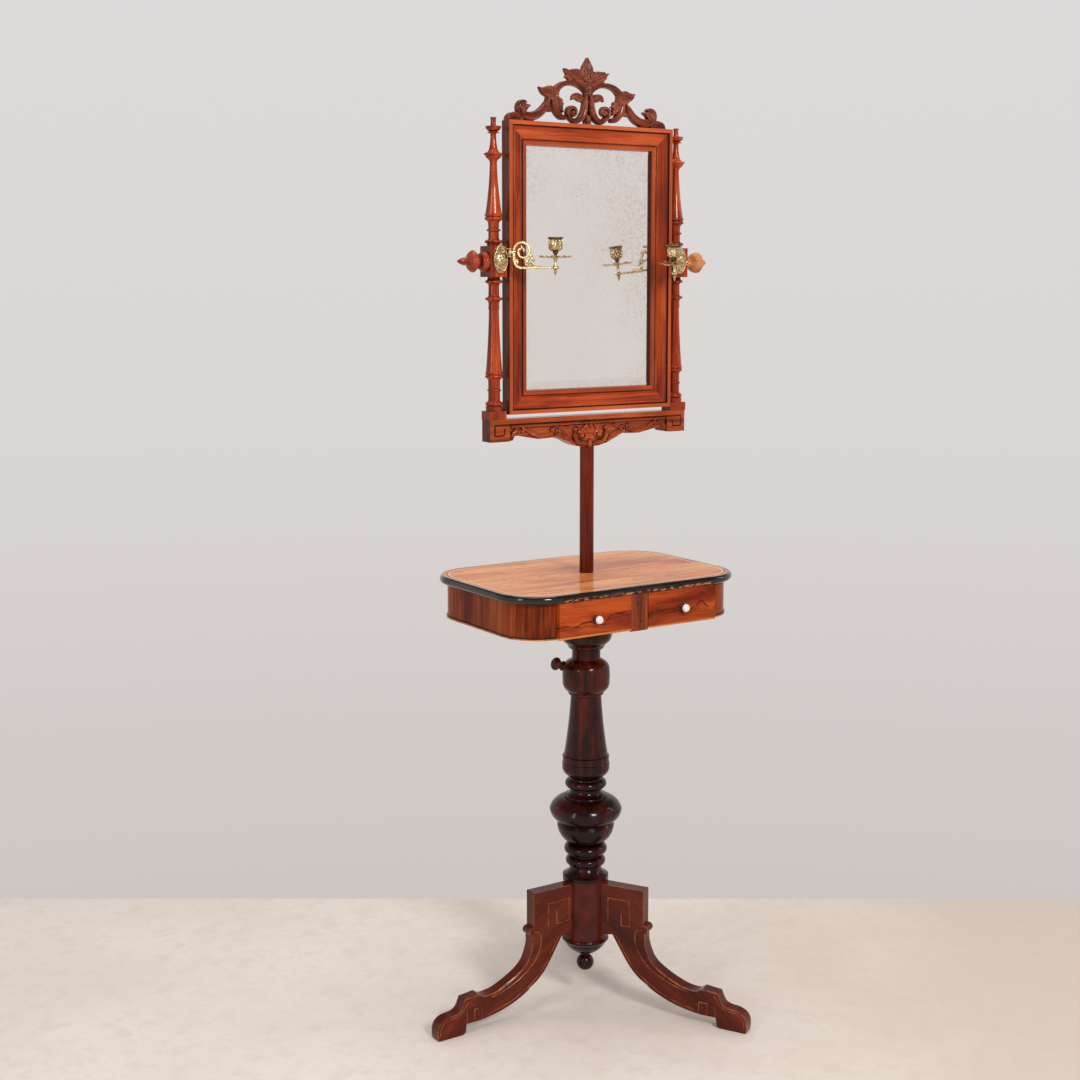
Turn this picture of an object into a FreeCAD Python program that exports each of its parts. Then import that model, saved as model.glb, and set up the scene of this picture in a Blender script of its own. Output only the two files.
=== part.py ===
"""Shaving stand on a tripod column, with a small table that has two drawers.

A round mast slides and turns in the column. It carries a crossbar, two turned posts, a tilting mirror
with a carved crest and two hinged brass candle arms.

Millimetres, +Z up. The origin is on the floor, on the axis of the column. The drawers face -Y.
"""

import FreeCAD, Part

import math
import os

V = FreeCAD.Vector
UP = V(0, 0, 1)
RIGHT = V(1, 0, 0)
FRONT = V(0, -1, 0)

# ---------------------------------------------------------------- clearances
SLIDE_GAP = 0.3      # between wooden pieces that slide on each other
PIVOT_GAP = 0.08     # round a pin, a screw or a tenon that turns
DRAWER_GAP = 0.6     # beside and above a drawer
TURNED_TIP = 0.4     # radius of the flat at a turned point

# ---------------------------------------------------------------- legs and column
LEG_THICK = 26.0
LEG_TOP = 233.5
LEG_HEAD_REACH = 124.0   # axis of the column to the outer edge of the leg's head
LEG_REACH = 327.0        # axis of the column to the tip of the toe
LEG_ANGLES = {"leg_left": 180.0, "leg_front": -60.0, "leg_back": 60.0}
LEG_CROTCH = 139.0       # height of the fork between the leg and the hub
LEG_ROLL_RADIUS = 8.0
LEG_ROLL_DROP = 74.0     # top of the leg down to its roll
LEG_ROLL_PROUD = 1.5
LEG_EDGE_DROP = 66.0     # straight outer edge of the head
LEG_CROTCH_RUN = 18.0    # level stretch under the leg's tenon
LEG_CROTCH_SET = 2.0     # underside of the tenon below the fork
LEG_OUTER_SWEEP = [      # outwards from the head's edge, down from its top
    (3.0, 84.0), (6.0, 111.0), (16.0, 130.0), (36.0, 147.0), (61.0, 160.0), (86.0, 169.5), (108.0, 171.5),
]
LEG_PAD = [(85.0, 68.0)]  # back from the toe, height
LEG_TOE = [
    (55.0, 65.0), (50.5, 54.0), (44.5, 45.0), (31.0, 40.5),
    (16.0, 38.5), (3.0, 30.0), (-1.5, 15.0), (0.5, 0.0),
]
LEG_HEEL = [(50.0, 0.0), (56.0, 4.0), (58.0, 19.0)]
LEG_UNDER_SWEEP = [      # outwards from the head's edge, height
    (116.0, 19.0), (77.0, 25.0), (41.0, 36.0), (7.0, 54.0),
    (-20.0, 76.0), (-40.0, 103.0), (-54.0, 126.0), (-62.0, 139.0),
]
HUB_RADIUS = 41.0
LEG_SOCKET_RADIUS = 29.0  # axis of the column to the bottom of the leg's housing
BOWL_FOOT = 89.0
BOWL_STEPS = [           # rise, radius at its end, swell: the turned bowl under the legs
    (25.0, 40.0, 4.5),
    (3.5, 43.5, 0.0),
    (5.0, 43.5, 0.8),
    (3.5, HUB_RADIUS, 0.0),
]
COLUMN_STEPS = [         # rise, radius at its end, swell: from the top of the legs to the clamp's cup
    (0.0, 43.0, 0.0),    # collar that caps the legs
    (11.0, 43.0, 0.0),
    (13.5, 28.4, -2.0),
    (4.5, 28.2, 0.0),
    (18.0, 28.2, 9.2),   # lower ring
    (4.5, 28.2, 0.0),
    (19.5, 29.0, 11.8),  # second ring
    (2.0, 31.0, 0.0),
    (35.0, 53.7, 5.5),   # bowl
    (6.0, 50.0, 0.0),
    (2.0, 52.0, 0.0),
    (23.0, 67.7, 4.0),   # great bulb
    (22.5, 41.0, 5.5),
    (4.0, 39.0, 1.2),
    (9.5, 28.9, -2.5),
    (4.0, 28.9, 0.0),
    (16.0, 28.9, 10.0),  # third ring
    (2.5, 28.0, 0.0),
    (4.0, 31.0, 0.0),
    (15.0, 44.4, 3.0),   # lower collar of the shaft
    (11.0, 44.4, 0.0),
    (1.5, 43.2, 0.0),
    (11.5, 43.8, 0.0),
    (2.0, 41.0, 0.0),
    (115.0, 28.3, -1.6),  # long tapered shaft
    (0.5, 32.4, 0.0),
    (4.5, 33.4, 0.5),
    (1.0, 34.6, 0.0),
]
CLAMP_CUP_RADIUS = 43.9
CLAMP_CUP_STEPS = [
    (20.0, CLAMP_CUP_RADIUS, 3.2),
    (21.0, CLAMP_CUP_RADIUS, 0.6),
]
COLUMN_HEAD_STEPS = [    # from the clamp's cup to the table
    (17.5, 33.0, 3.0),
    (3.0, 26.9, 0.0),
    (19.0, 26.9, -0.6),  # neck
    (1.0, 31.6, 0.0),
    (2.5, 33.6, 0.0),
    (9.5, 41.5, -1.2),
    (14.0, 48.0, 1.5),   # head under the table
    (37.9, 48.0, 0.0),
]
MAST_RADIUS = 13.0
MAST_TRAVEL = 225.0      # lowering of the mast from its place at rest
BORE_SPARE = 13.8        # bottom of the bore below the lowered mast
FINIAL_BALL_RADIUS = 16.3
FINIAL_BALL_DROP = 18.6  # bottom of the bowl down to the centre of the ball
FINIAL_NECK_RADIUS = 7.7
FINIAL_LIP = 1.0         # foot of the bowl outside the finial's neck
FINIAL_TENON_RADIUS = 5.0
FINIAL_TENON_LENGTH = 16.0

# ---------------------------------------------------------------- mast clamp
CLAMP_RISE = 37.4        # foot of the clamp's cup up to where the screw meets the mast
CLAMP_TILT = 22.0        # rise of the screw outwards
CLAMP_SCREW_RADIUS = 4.0
CLAMP_KNOB_GAP = 7.4     # cup to the shoulder of the knob, along the screw
CLAMP_KNOB_DEPTH = 12.0  # screw inside the knob
CLAMP_KNOB_STEPS = [
    (0.0, 8.4, 0.0),
    (3.0, 9.2, 0.4),
    (2.5, 6.2, 0.6),
    (6.0, 6.2, -0.6),
    (4.0, 11.4, 0.4),
    (4.0, 11.9, 0.5),
    (5.0, 5.0, 1.4),
]

# ---------------------------------------------------------------- table
TOP_HALF_LENGTH = 243.0
TOP_HALF_DEPTH = 163.0
TOP_THICK = 14.0
TOP_CORNER = 77.0
MOULDING_DEPTH = 7.0
MOULDING_FLAT = 0.35     # flat part of the moulding's top
FRONT_MOULDING_STOP = 3.0   # end of the front strip before the corner's curve
FRONT_MOULDING_PROUD = 1.5
APRON_INSET = 7.3        # edge of the top board back to the face of the apron
APRON_WALL = 11.0
APRON_HEIGHT = 64.4
BOARD_THICK = 8.0        # bottom board
LIP_THICK = 3.4          # thin front edge of the bottom board, under the drawers
BEAD_PROUD = 2.2
BEAD_HEIGHT = 4.2
FRONT_PROJECTION = 9.8   # face of the drawers before the face of the apron
STILE_SET_BACK = 1.0     # face of the drawers back to the face of the stile
STILE_DROP = 2.4
PARTITION_THICK = 4.4
PARTITION_GAP = 0.8      # bore for the mast to a partition
TABLE_SCREW_RADIUS = 2.2
TABLE_SCREW_HEAD = 4.2
TABLE_SCREW_LENGTH = 30.0
TABLE_SCREW_CIRCLE = 34.0
GUIDE_THICK = 5.0
GUIDE_HEIGHT = 20.0
GUIDE_BACK_SPACE = 18.5  # wall of the box to the back end of a guide

# ---------------------------------------------------------------- drawers
FRONT_OVERLAP = 4.8      # outer end of a drawer front past the start of the corner's curve
FRONT_THICK = 14.0
DRAWER_BACK_SPACE = 24.2
DRAWER_WALL = 6.5
DRAWER_HEADROOM = 11.1   # drawer sides up to the table top
DRAWER_BOTTOM_THICK = 4.0
DRAWER_BOTTOM_RISE = 3.0
KNOB_DROP = 4.0          # middle of a drawer front down to its knob
KNOB_STEM_STEPS = [
    (0.0, 6.4, 0.0),
    (1.6, 6.4, 0.5),
    (2.6, 3.4, -0.6),
    (1.6, 3.4, 0.0),
    (2.6, 5.6, -0.4),
]
KNOB_SPIGOT_RADIUS = 2.4
KNOB_SPIGOT_LENGTH = 10.0
KNOB_CAP_STEPS = [
    (0.0, 5.8, 0.0),
    (3.4, 7.0, 0.9),
    (4.4, TURNED_TIP, 1.7),
]

# ---------------------------------------------------------------- mast and crossbar
MAST_SHOULDER_GAP = 233.4   # top of the table up to the shoulder of the mast
MAST_BELOW_TOP = 320.0      # top of the table down to the foot of the mast
MAST_TENON_RADIUS = 8.5
MAST_TENON_LENGTH = 34.0
BAR_END_PROUD = 16.0        # axis of the post to the end of the bar
BAR_HALF_THICK = 14.5
BAR_HEIGHT = 39.8           # at its ends
BAR_DROP = 18.5             # centre of the carved edge below the ends
BAR_BLOCK = 37.0            # plain square block at each end
BAR_SWAGS = [               # inwards from the end block, up from the ends' foot, swell
    (10.0, 1.5),
    (15.0, 8.5, -1.5),
    (24.0, 9.0, -0.8),
    (66.0, 1.0, 3.2),
    (86.0, 1.5, 1.6),
    (99.0, 2.0, 0.8),
    (103.0, 3.5),
]
BAR_CENTRE_HALF = 62.0      # shoulder of the central drop
BAR_CENTRE_RISE = -2.5
BAR_TIP_HALF = 12.0

# ---------------------------------------------------------------- posts
POST_BLOCK = 34.0
POST_SPACE = 4.4            # side of the mirror's frame to the post's block
PLINTH_HEIGHT = 14.8
POST_TENON_RADIUS = 6.0
POST_TENON_LENGTH = 24.0
POST_LOWER_STEPS = [     # plinth to block
    (0.0, 15.0, 0.0),
    (8.0, 15.0, 0.0),
    (1.0, 13.4, 0.0),
    (7.0, 13.4, 2.2),    # ring
    (2.0, 10.6, 0.0),
    (16.3, 10.4, 0.0),
    (4.4, 10.4, 1.9),    # thin ring
    (11.2, 10.6, 0.0),
    (8.0, 14.0, -1.4),
    (5.4, 14.4, 1.8),    # double ring
    (0.8, 14.0, 0.0),
    (4.8, 14.4, 1.4),
    (107.9, 8.8, -0.9),  # long vase
    (2.0, 9.8, 0.0),
    (8.0, 9.4, 0.0),
    (7.0, 13.0, -1.2),
    (4.6, 13.0, 2.4),    # ring
    (6.0, 9.6, -1.4),
    (12.4, 9.3, 0.0),
    (6.5, 13.0, -1.4),
    (5.0, 13.0, 2.2),    # ring under the block
    (3.0, 11.0, -0.3),
    (2.5, 11.0, 0.0),
]
POST_BLOCK_HEIGHT = 53.5
POST_UPPER_STEPS = [     # block to tip
    (0.0, 12.0, 0.0),
    (5.0, 12.0, 0.0),
    (5.2, 12.6, 3.6),    # ring over the block
    (6.4, 9.4, -1.4),
    (8.6, 9.2, 0.0),
    (4.2, 9.2, 3.0),     # thin ring
    (7.2, 9.6, 0.0),
    (7.8, 14.0, -1.6),
    (5.2, 14.2, 1.7),    # double ring
    (0.9, 13.9, 0.0),
    (5.4, 14.2, 1.7),
    (85.1, 6.2, -1.4),   # long vase
    (7.5, 9.2, -1.0),
    (6.4, 14.0, 1.0),
    (4.6, 14.0, 2.6),    # sharp disc
    (8.0, 7.2, -1.6),
    (24.6, 5.1, -0.8),
    (0.8, 9.0, 0.0),
    (2.0, 9.2, 1.2),     # thin disc
    (0.6, 6.4, 0.0),
    (7.6, 13.7, 1.4),    # dish
    (1.6, 13.4, 0.3),
    (0.8, 5.2, 0.0),
    (14.3, 5.4, -0.9),
]

# ---------------------------------------------------------------- mirror
FRAME_HALF = 177.6
FRAME_HEIGHT = 510.0
FRAME_FACE = 18.0        # pivot axis forward to the face of the frame
FRAME_BACK = 6.4         # pivot axis back to the back of the frame
FRAME_WIDTH = 40.6
FRAME_GAP = 8.0          # top of the crossbar up to the frame
OUTER_FILLET = 7.0
QUIRK_DEPTH = 2.2
QUIRK_SPLAY = 2.0        # width and rise of the quirk's inner edge
QUIRK_RISE = 0.6
OGEE_HOLLOW = 1.9        # swell of the ogee's two halves
OGEE_ROUND = 1.5
OGEE_END = 31.0          # outer edge of the frame to the foot of its ogee
OGEE_DROP = 8.6
BEAD_START = 32.6
BEAD_SWELL = 2.0
BEAD_SPLAY = 0.2         # lean and rise of the bead's outer edge
BEAD_RISE = 1.0
REBATE_WIDTH = 6.0
LEDGE_WIDTH = 9.0        # step behind the rebate that carries the backboard
GLASS_THICK = 4.0
GLASS_SET_BACK = 14.0    # face of the frame back to the face of the glass
GLASS_EDGE_THICK = 2.5
GLASS_REBATE_REST = 1.05    # face of the glass back to the rebate's seat
BEVEL_WIDTH = 21.0
GLASS_EDGE_GAP = 0.6
BACKBOARD_THICK = 5.0
BACKBOARD_SCREW_RADIUS = 1.4
BACKBOARD_SCREW_HEAD = 3.2
SCREW_HEAD_THICK = 1.2
BACKBOARD_SCREW_INSET = 4.4   # edge of the backboard to the screws
BACKBOARD_SCREW_LENGTH = 13.0
BACKBOARD_SCREW_RISES = (-0.8, 0.0, 0.8)
BACKBOARD_EDGE_GAP = 0.5
PIVOT_SCREW_RADIUS = 4.0
PIVOT_SCREW_DEPTH = 17.0      # into the side of the frame
PIVOT_KNOB_STEPS = {          # from the post's block outwards
    "left": [
        (0.0, 16.8, 0.0),
        (6.5, 16.8, 0.9),
        (5.0, 8.8, 1.5),
        (2.5, 6.2, -0.4),
        (1.5, 6.4, 0.0),
        (1.0, 10.0, 0.0),
        (7.0, 17.6, 1.0),
        (2.2, 19.2, 0.3),
        (1.6, 18.0, 0.3),
        (5.5, 10.5, 1.6),
        (2.5, 7.0, 0.0),
        (2.4, 4.2, -0.4),
        (2.0, 4.0, 0.0),
        (1.0, 6.4, 0.0),
        (2.6, 6.7, 0.5),
        (13.5, TURNED_TIP, 1.2),
    ],
    "right": [                # a replacement with a longer neck
        (0.0, 16.0, 0.0),
        (3.0, 16.0, 0.8),
        (5.0, 9.0, 1.6),
        (3.0, 7.0, -0.6),
        (6.0, 7.5, -0.4),
        (3.0, 12.0, 0.0),
        (9.0, 18.2, 1.6),
        (4.5, 19.2, 0.4),
        (2.5, 18.0, 0.4),
        (4.5, 10.0, 1.2),
        (2.0, 5.4, 0.0),
        (1.6, 4.4, 0.0),
        (1.0, 6.2, 0.0),
        (2.4, 6.6, 0.5),
        (9.4, TURNED_TIP, 0.8),
    ],
}
PIVOT_SOCKET_DEPTH = 18.0

# ---------------------------------------------------------------- crest
CREST_THICK = 11.0
CREST_CENTRE_Y = 0.9
CREST_SCROLL_X = 40.5
CREST_SCROLL_RISE = 39.5     # top of the frame up to the middle of a big scroll
CREST_SCROLL_WIDE = 37.5
CREST_SCROLL_TALL = 36.5
CREST_BAND = 10.5
CREST_VOLUTE_X = 34.5
CREST_VOLUTE_RISE = 22.5
CREST_VOLUTE_RADIUS = 15.0
CREST_ARM_X = 126.0          # middle of the hollow sweep beside the big scroll
CREST_ARM_RISE = 59.7
CREST_ARM_RADIUS = 55.5
CREST_ARM_BAND = 15.0
CREST_ARM_TOP = 45.0         # top of the sweep beside the scroll
CREST_HOOK_X = 137.0
CREST_HOOK_RISE = 22.5
CREST_HOOK_RADIUS = 14.8
CREST_BUD_X = 158.0
CREST_BUD_RADIUS = 15.0
CREST_HEIGHT = 119.2
CREST_NOTCH = (-12.0, 9.5, 5.0)   # hook's middle to the notch's middle, and its radius
CREST_TIE_HALF = 5.0
CREST_TIE_TALL = 58.0
CREST_ROSETTE_RISE = 84.2
CREST_ROSETTE_RADII = (11.0, 5.0)
CREST_ROSETTE_PROUD = 3.5
CREST_FOOT = [               # x, height above the frame
    (112.0, 0.0), (158.0, 0.0), (158.0, 14.0), (120.0, 5.0),
]
CREST_SIDE_LEAF = [          # x from the middle of the big scroll, height above the frame, swell
    (32.0, 42.0), (50.0, 43.0), (61.5, 53.0, 1.0), (64.0, 61.0, -0.5), (55.5, 58.5, -0.8),
    (47.5, 65.0, 1.2), (33.0, 65.0, 0.8),
]
CREST_INNER_LEAF = [
    (-33.0, 36.0), (-22.5, 39.0), (-15.5, 44.2, -0.8), (-7.0, 42.7, -0.5), (-6.5, 49.5, 0.6),
    (-12.5, 54.7, 1.0), (-21.0, 54.6, 0.3), (-30.0, 60.0, -1.0),
]
CREST_LOWER_LEAF = [
    (32.0, 14.0), (34.0, 41.0), (19.0, 43.0), (10.5, 34.3, -1.0), (16.8, 29.4, -0.5),
    (19.5, 24.3, -0.5), (15.5, 20.0), (22.0, 10.0),
]
CREST_SPRAY_FOOT = 52.0
CREST_SPRAY = [              # right half of the leaf spray: x, height above the frame, swell
    (18.0, 66.0, 0.6), (36.0, 74.5, 1.0), (35.0, 79.0, -0.3), (42.0, 84.0, -0.5), (41.0, 89.0, -0.3),
    (46.0, 94.0, -0.4), (37.0, 93.0, -0.5), (31.0, 95.8, 0.5), (24.0, 95.8, -0.5), (12.5, 95.0, 0.6),
    (9.0, 99.0, -0.4), (8.0, 105.0, 0.3), (4.0, 106.5, -0.3), (0.0, CREST_HEIGHT, -0.6),
]

# ---------------------------------------------------------------- candle arms
PLATE_HALF = 15.0
PLATE_TALL_HALF = 26.0
PLATE_THICK = 4.0
PLATE_BOSS_THICK = 3.4
PLATE_BOSS_HALF = 10.5
PLATE_BOSS_TALL_HALF = 10.9
PLATE_OFFSET = 3.0       # axis of the post inwards to the middle of the plate
PLATE_RISE = 4.0         # pivot axis of the mirror up to the middle of the plate
HINGE_INSET = 14.8       # axis of the post inwards to the axis of the arm's hinge
HINGE_PROUD = 13.4       # face of the block forward to the axis of the hinge
HINGE_RISE = 15.0        # pivot axis of the mirror up to the middle of the hinge
HINGE_PIN_RADIUS = 1.5
BARREL_RADIUS = 3.4
BARREL_HALF = 5.0
LUG_THICK = 2.6
LUG_WEB_HALF = 2.8       # half width of the web from each lug to the plate
ARM_LENGTH = 85.0
ARM_DROP = 26.0          # middle of the hinge down to the straight part of the arm
ARM_WIRE = 2.3
SCROLL_WIRE = 1.9
SCROLL_RADIUS = 15.4
SCROLL_TURNS = (0.45, 0.27, 0.72, 0.5, 0.47)  # places on the inner turns against the scroll's radius
SCROLL_OUT = 22.4        # hinge to the middle of the scroll
SCROLL_RISE = 2.5
ARM_BEND = 15.0
ARM_NECK = 7.4           # hinge out to the bar that goes down beside the lower lug
ARM_SHOULDER = 4.0       # bend between the neck and that bar
EYE_RADIUS = 5.0
EYE_HALF = 2.6
STEM_RADIUS = 2.0
ARM_HEADINGS = {"left": 56.5, "right": 47.0}   # turn of each arm from the mirror towards the front
ARM_SAGS = {"left": 0.0, "right": 6.5}         # droop of each arm
PAN_RISE = 16.4          # arm up to the underside of the drip pan
PAN_RADIUS = 28.2
PAN_DISH = 3.2
PAN_SHEET = 1.0
PAN_FLAT = 0.55          # flat middle of the pan against its radius
PAN_HUB_RADII = (3.4, 4.2)
CUP_RISE = 25.0          # arm up to the foot of the candle cup
CUP_FOOT_RADIUS = 4.6
CANDLE_RADIUS = 10.4
CUP_WALL = 2.0
CUP_RIM_PROUD = 1.2
CUP_HEIGHT = 27.0
CUP_SHARES = (0.15, 0.22, 0.48, 0.05, 0.10)  # foot, swell, body, lip and rim against the height
CUP_NECK_RADIUS = 3.4
CUP_FLOOR = 7.0
NUT_FACE_RADIUS = 3.2
NUT_STEPS = [
    (2.0, 3.2, 0.0), (2.0, 4.0, 0.5), (2.4, 2.6, 0.0), (2.6, 3.6, 0.8), (4.0, TURNED_TIP, 0.5),
]
NUT_DEPTH = 7.0          # stem inside the nut
PLATE_SCREW_RADIUS = 1.6
PLATE_SCREW_HEAD = 3.2
PLATE_SCREW_SPREAD = 17.0
PLATE_SCREW_BITE = 10.0  # screw inside the post

# ---------------------------------------------------------------- levels that follow from the sizes above
def rise_of(steps):
    """Height of a turned outline."""
    return sum(step[0] for step in steps)


CLAMP_CUP_FOOT = LEG_TOP + rise_of(COLUMN_STEPS)
CLAMP_Z = CLAMP_CUP_FOOT + CLAMP_RISE
TABLE_UNDER = CLAMP_CUP_FOOT + rise_of(CLAMP_CUP_STEPS + COLUMN_HEAD_STEPS)
BOARD_TOP = TABLE_UNDER + BOARD_THICK
TOP_UNDER = TABLE_UNDER + APRON_HEIGHT
TABLE_TOP = TOP_UNDER + TOP_THICK
MAST_FOOT = TABLE_TOP - MAST_BELOW_TOP
MAST_SHOULDER = TABLE_TOP + MAST_SHOULDER_GAP
BORE_FLOOR = MAST_FOOT - MAST_TRAVEL - BORE_SPARE
BORE_RADIUS = MAST_RADIUS + SLIDE_GAP
CLAMP_KNOB_START = (CLAMP_CUP_RADIUS - BORE_RADIUS) / math.cos(math.radians(CLAMP_TILT)) + CLAMP_KNOB_GAP
CLAMP_SCREW_LENGTH = CLAMP_KNOB_START + CLAMP_KNOB_DEPTH
APRON_HALF_LENGTH = TOP_HALF_LENGTH - APRON_INSET
APRON_HALF_DEPTH = TOP_HALF_DEPTH - APRON_INSET
APRON_CORNER = TOP_CORNER - APRON_INSET
FRONT_MOULDING_HALF = TOP_HALF_LENGTH - TOP_CORNER - FRONT_MOULDING_STOP
FRONT_OUTER = APRON_HALF_LENGTH - APRON_CORNER + FRONT_OVERLAP
OPENING_HALF = FRONT_OUTER + DRAWER_GAP
STILE_HALF = BORE_RADIUS + PARTITION_GAP + PARTITION_THICK
DRAWER_FACE = APRON_HALF_DEPTH + FRONT_PROJECTION
FRONT_BACK = DRAWER_FACE - FRONT_THICK
RAIL_FACE = FRONT_BACK - SLIDE_GAP
DRAWER_LENGTH = FRONT_BACK + APRON_HALF_DEPTH - APRON_WALL - DRAWER_BACK_SPACE
DRAWER_SIDE_HEIGHT = APRON_HEIGHT - BOARD_THICK - SLIDE_GAP - DRAWER_HEADROOM
BAR_FOOT = MAST_SHOULDER + SLIDE_GAP + BAR_DROP
BAR_TOP = BAR_FOOT + BAR_HEIGHT
POST_X = FRAME_HALF + POST_SPACE + POST_BLOCK / 2
BAR_HALF = POST_X + BAR_END_PROUD
POST_TURNING_FOOT = BAR_TOP + PLINTH_HEIGHT
BLOCK_FOOT = POST_TURNING_FOOT + rise_of(POST_LOWER_STEPS)
BLOCK_TOP = BLOCK_FOOT + POST_BLOCK_HEIGHT
BLOCK_FACE = POST_BLOCK / 2
PIVOT_Z = (BLOCK_FOOT + BLOCK_TOP) / 2
FRAME_FOOT = BAR_TOP + FRAME_GAP
FRAME_TOP = FRAME_FOOT + FRAME_HEIGHT
FRAME_MIDDLE = (FRAME_TOP + FRAME_FOOT) / 2
GLASS_FACE = -FRAME_FACE + GLASS_SET_BACK
BACKBOARD_FACE = GLASS_FACE + GLASS_THICK + SLIDE_GAP / 2
CUP_BELLY_RADIUS = CANDLE_RADIUS + CUP_WALL
CUP_RIM_RADIUS = CUP_BELLY_RADIUS + CUP_RIM_PROUD
CANDLE_DEPTH = CUP_HEIGHT - CUP_FLOOR
PARTS = {}


# ================================================================ helpers
def edge(start, end, swell, normal):
    """A straight edge, or an arc that swells to the side that normal points to."""
    if abs(swell) < 1e-6:
        return Part.LineSegment(start, end).toShape()
    return Part.Arc(start, (start + end) / 2 + normal * swell, end).toShape()


def profile_points(foot_radius, steps):
    """(radius, height, swell) of each corner of a turned outline."""
    corners = [(foot_radius, 0.0, 0.0)]
    for rise, radius, swell in steps:
        corners.append((radius, corners[-1][1] + rise, swell))
    return corners


def turned(foot_radius, steps):
    """A turned solid about Z, with its foot at height 0."""
    corners = profile_points(foot_radius, steps)
    height = corners[-1][1]
    edges = []
    if foot_radius > 0:
        edges.append(Part.LineSegment(V(0, 0, 0), V(foot_radius, 0, 0)).toShape())
    for (r0, z0, _), (r1, z1, swell) in zip(corners, corners[1:]):
        start, end = V(r0, 0, z0), V(r1, 0, z1)
        along = end - start
        if along.Length < 1e-6:
            continue
        outward = V(along.z, 0, -along.x).normalize()
        edges.append(edge(start, end, swell, outward))
    if corners[-1][0] > 0:
        edges.append(Part.LineSegment(V(corners[-1][0], 0, height), V(0, 0, height)).toShape())
    edges.append(Part.LineSegment(V(0, 0, height), V(0, 0, 0)).toShape())
    return Part.Face(Part.Wire(edges)).revolve(V(0, 0, 0), UP, 360)


def aimed(shape, base, direction):
    """The shape, built along +Z from the origin, laid along direction from base."""
    placed = shape.copy()
    placed.Placement = FreeCAD.Placement(base, FreeCAD.Rotation(UP, direction))
    return placed


def rod(radius, length, base, direction):
    return Part.makeCylinder(radius, length, base, direction)


def block(x0, x1, y0, y1, z0, z1):
    return Part.makeBox(x1 - x0, y1 - y0, z1 - z0, V(x0, y0, z0))


def rounded_face(half_x, half_y, corner, z):
    """A rectangle with round corners, flat at height z."""
    inner_x, inner_y = half_x - corner, half_y - corner
    diagonal = corner / math.sqrt(2)
    arcs = []
    for sx, sy in ((1, -1), (1, 1), (-1, 1), (-1, -1)):
        along_x = V(sx * inner_x, sy * half_y, z)
        along_y = V(sx * half_x, sy * inner_y, z)
        middle = V(sx * (inner_x + diagonal), sy * (inner_y + diagonal), z)
        start, end = (along_x, along_y) if sx * sy < 0 else (along_y, along_x)
        arcs.append((start, middle, end))
    edges = []
    for (start, middle, end), following in zip(arcs, arcs[1:] + arcs[:1]):
        edges.append(Part.Arc(start, middle, end).toShape())
        edges.append(Part.LineSegment(end, following[0]).toShape())
    return Part.Face(Part.Wire(edges))


def slab(half_x, half_y, corner, z, thick):
    return rounded_face(half_x, half_y, corner, z).extrude(UP * thick)


def outline(points, to_space):
    """A closed wire of lines and arcs. A point is (a, b) or (a, b, swell) for the stretch that ends there."""
    edges = []
    for start, end in zip([points[-1]] + points[:-1], points):
        p, q = to_space(start[0], start[1]), to_space(end[0], end[1])
        if len(end) == 3:
            side_a, side_b = end[1] - start[1], start[0] - end[0]
            scale = end[2] / math.hypot(side_a, side_b)
            middle_a, middle_b = (start[0] + end[0]) / 2, (start[1] + end[1]) / 2
            middle = to_space(middle_a + side_a * scale, middle_b + side_b * scale)
            edges.append(Part.Arc(p, middle, q).toShape())
        else:
            edges.append(Part.LineSegment(p, q).toShape())
    return Part.Wire(edges)


def upright(y):
    """Maps (x, z) to space on the plane at depth y."""
    return lambda x, z: V(x, y, z)


def mirrored(shape):
    """The shape's mirror image in the plane X = 0."""
    return shape.mirror(V(0, 0, 0), RIGHT)


def fused(shapes):
    whole = shapes[0].multiFuse(shapes[1:]) if len(shapes) > 1 else shapes[0]
    return whole.removeSplitter()


def keep(name, shape):
    """Stores the solid or solids of one node."""
    solids = shape.Solids
    PARTS[name] = solids[0] if len(solids) == 1 else Part.makeCompound(solids)


def keep_group(name, shapes):
    """Stores identical pieces as one node of separate solids."""
    PARTS[name] = Part.makeCompound([shape.Solids[0] for shape in shapes])


# ================================================================ column and legs
def column():
    bowl = turned(FINIAL_NECK_RADIUS + FINIAL_LIP, BOWL_STEPS)
    bowl.translate(UP * BOWL_FOOT)
    hub_foot = BOWL_FOOT + rise_of(BOWL_STEPS)
    hub = rod(HUB_RADIUS, LEG_TOP - hub_foot, V(0, 0, hub_foot), UP)
    shaft = turned(COLUMN_STEPS[0][1], COLUMN_STEPS + CLAMP_CUP_STEPS + COLUMN_HEAD_STEPS)
    shaft.translate(UP * LEG_TOP)
    body = fused([bowl, hub, shaft])
    body = body.cut(rod(BORE_RADIUS, TABLE_UNDER - BORE_FLOOR, V(0, 0, BORE_FLOOR), UP))
    start, along = clamp_line()
    tapped = CLAMP_SCREW_RADIUS + PIVOT_GAP
    body = body.cut(rod(tapped, CLAMP_SCREW_LENGTH * 2, start - along * CLAMP_SCREW_RADIUS, along))
    body = body.cut(rod(FINIAL_TENON_RADIUS, FINIAL_TENON_LENGTH, V(0, 0, BOWL_FOOT), UP))
    half, tenon_foot = LEG_THICK / 2, LEG_CROTCH - LEG_CROTCH_SET
    for angle in LEG_ANGLES.values():
        housing = block(LEG_SOCKET_RADIUS, HUB_RADIUS * 1.5, -half, half, tenon_foot, LEG_TOP)
        housing.rotate(V(0, 0, 0), UP, angle)
        body = body.cut(housing)
    for screw in table_screw_shapes():
        body = body.cut(screw)
    return body


def curve(points, to_space):
    """A smooth edge through (a, b) points."""
    spline = Part.BSplineCurve()
    spline.interpolate([to_space(*point) for point in points])
    return spline.toShape()


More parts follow.
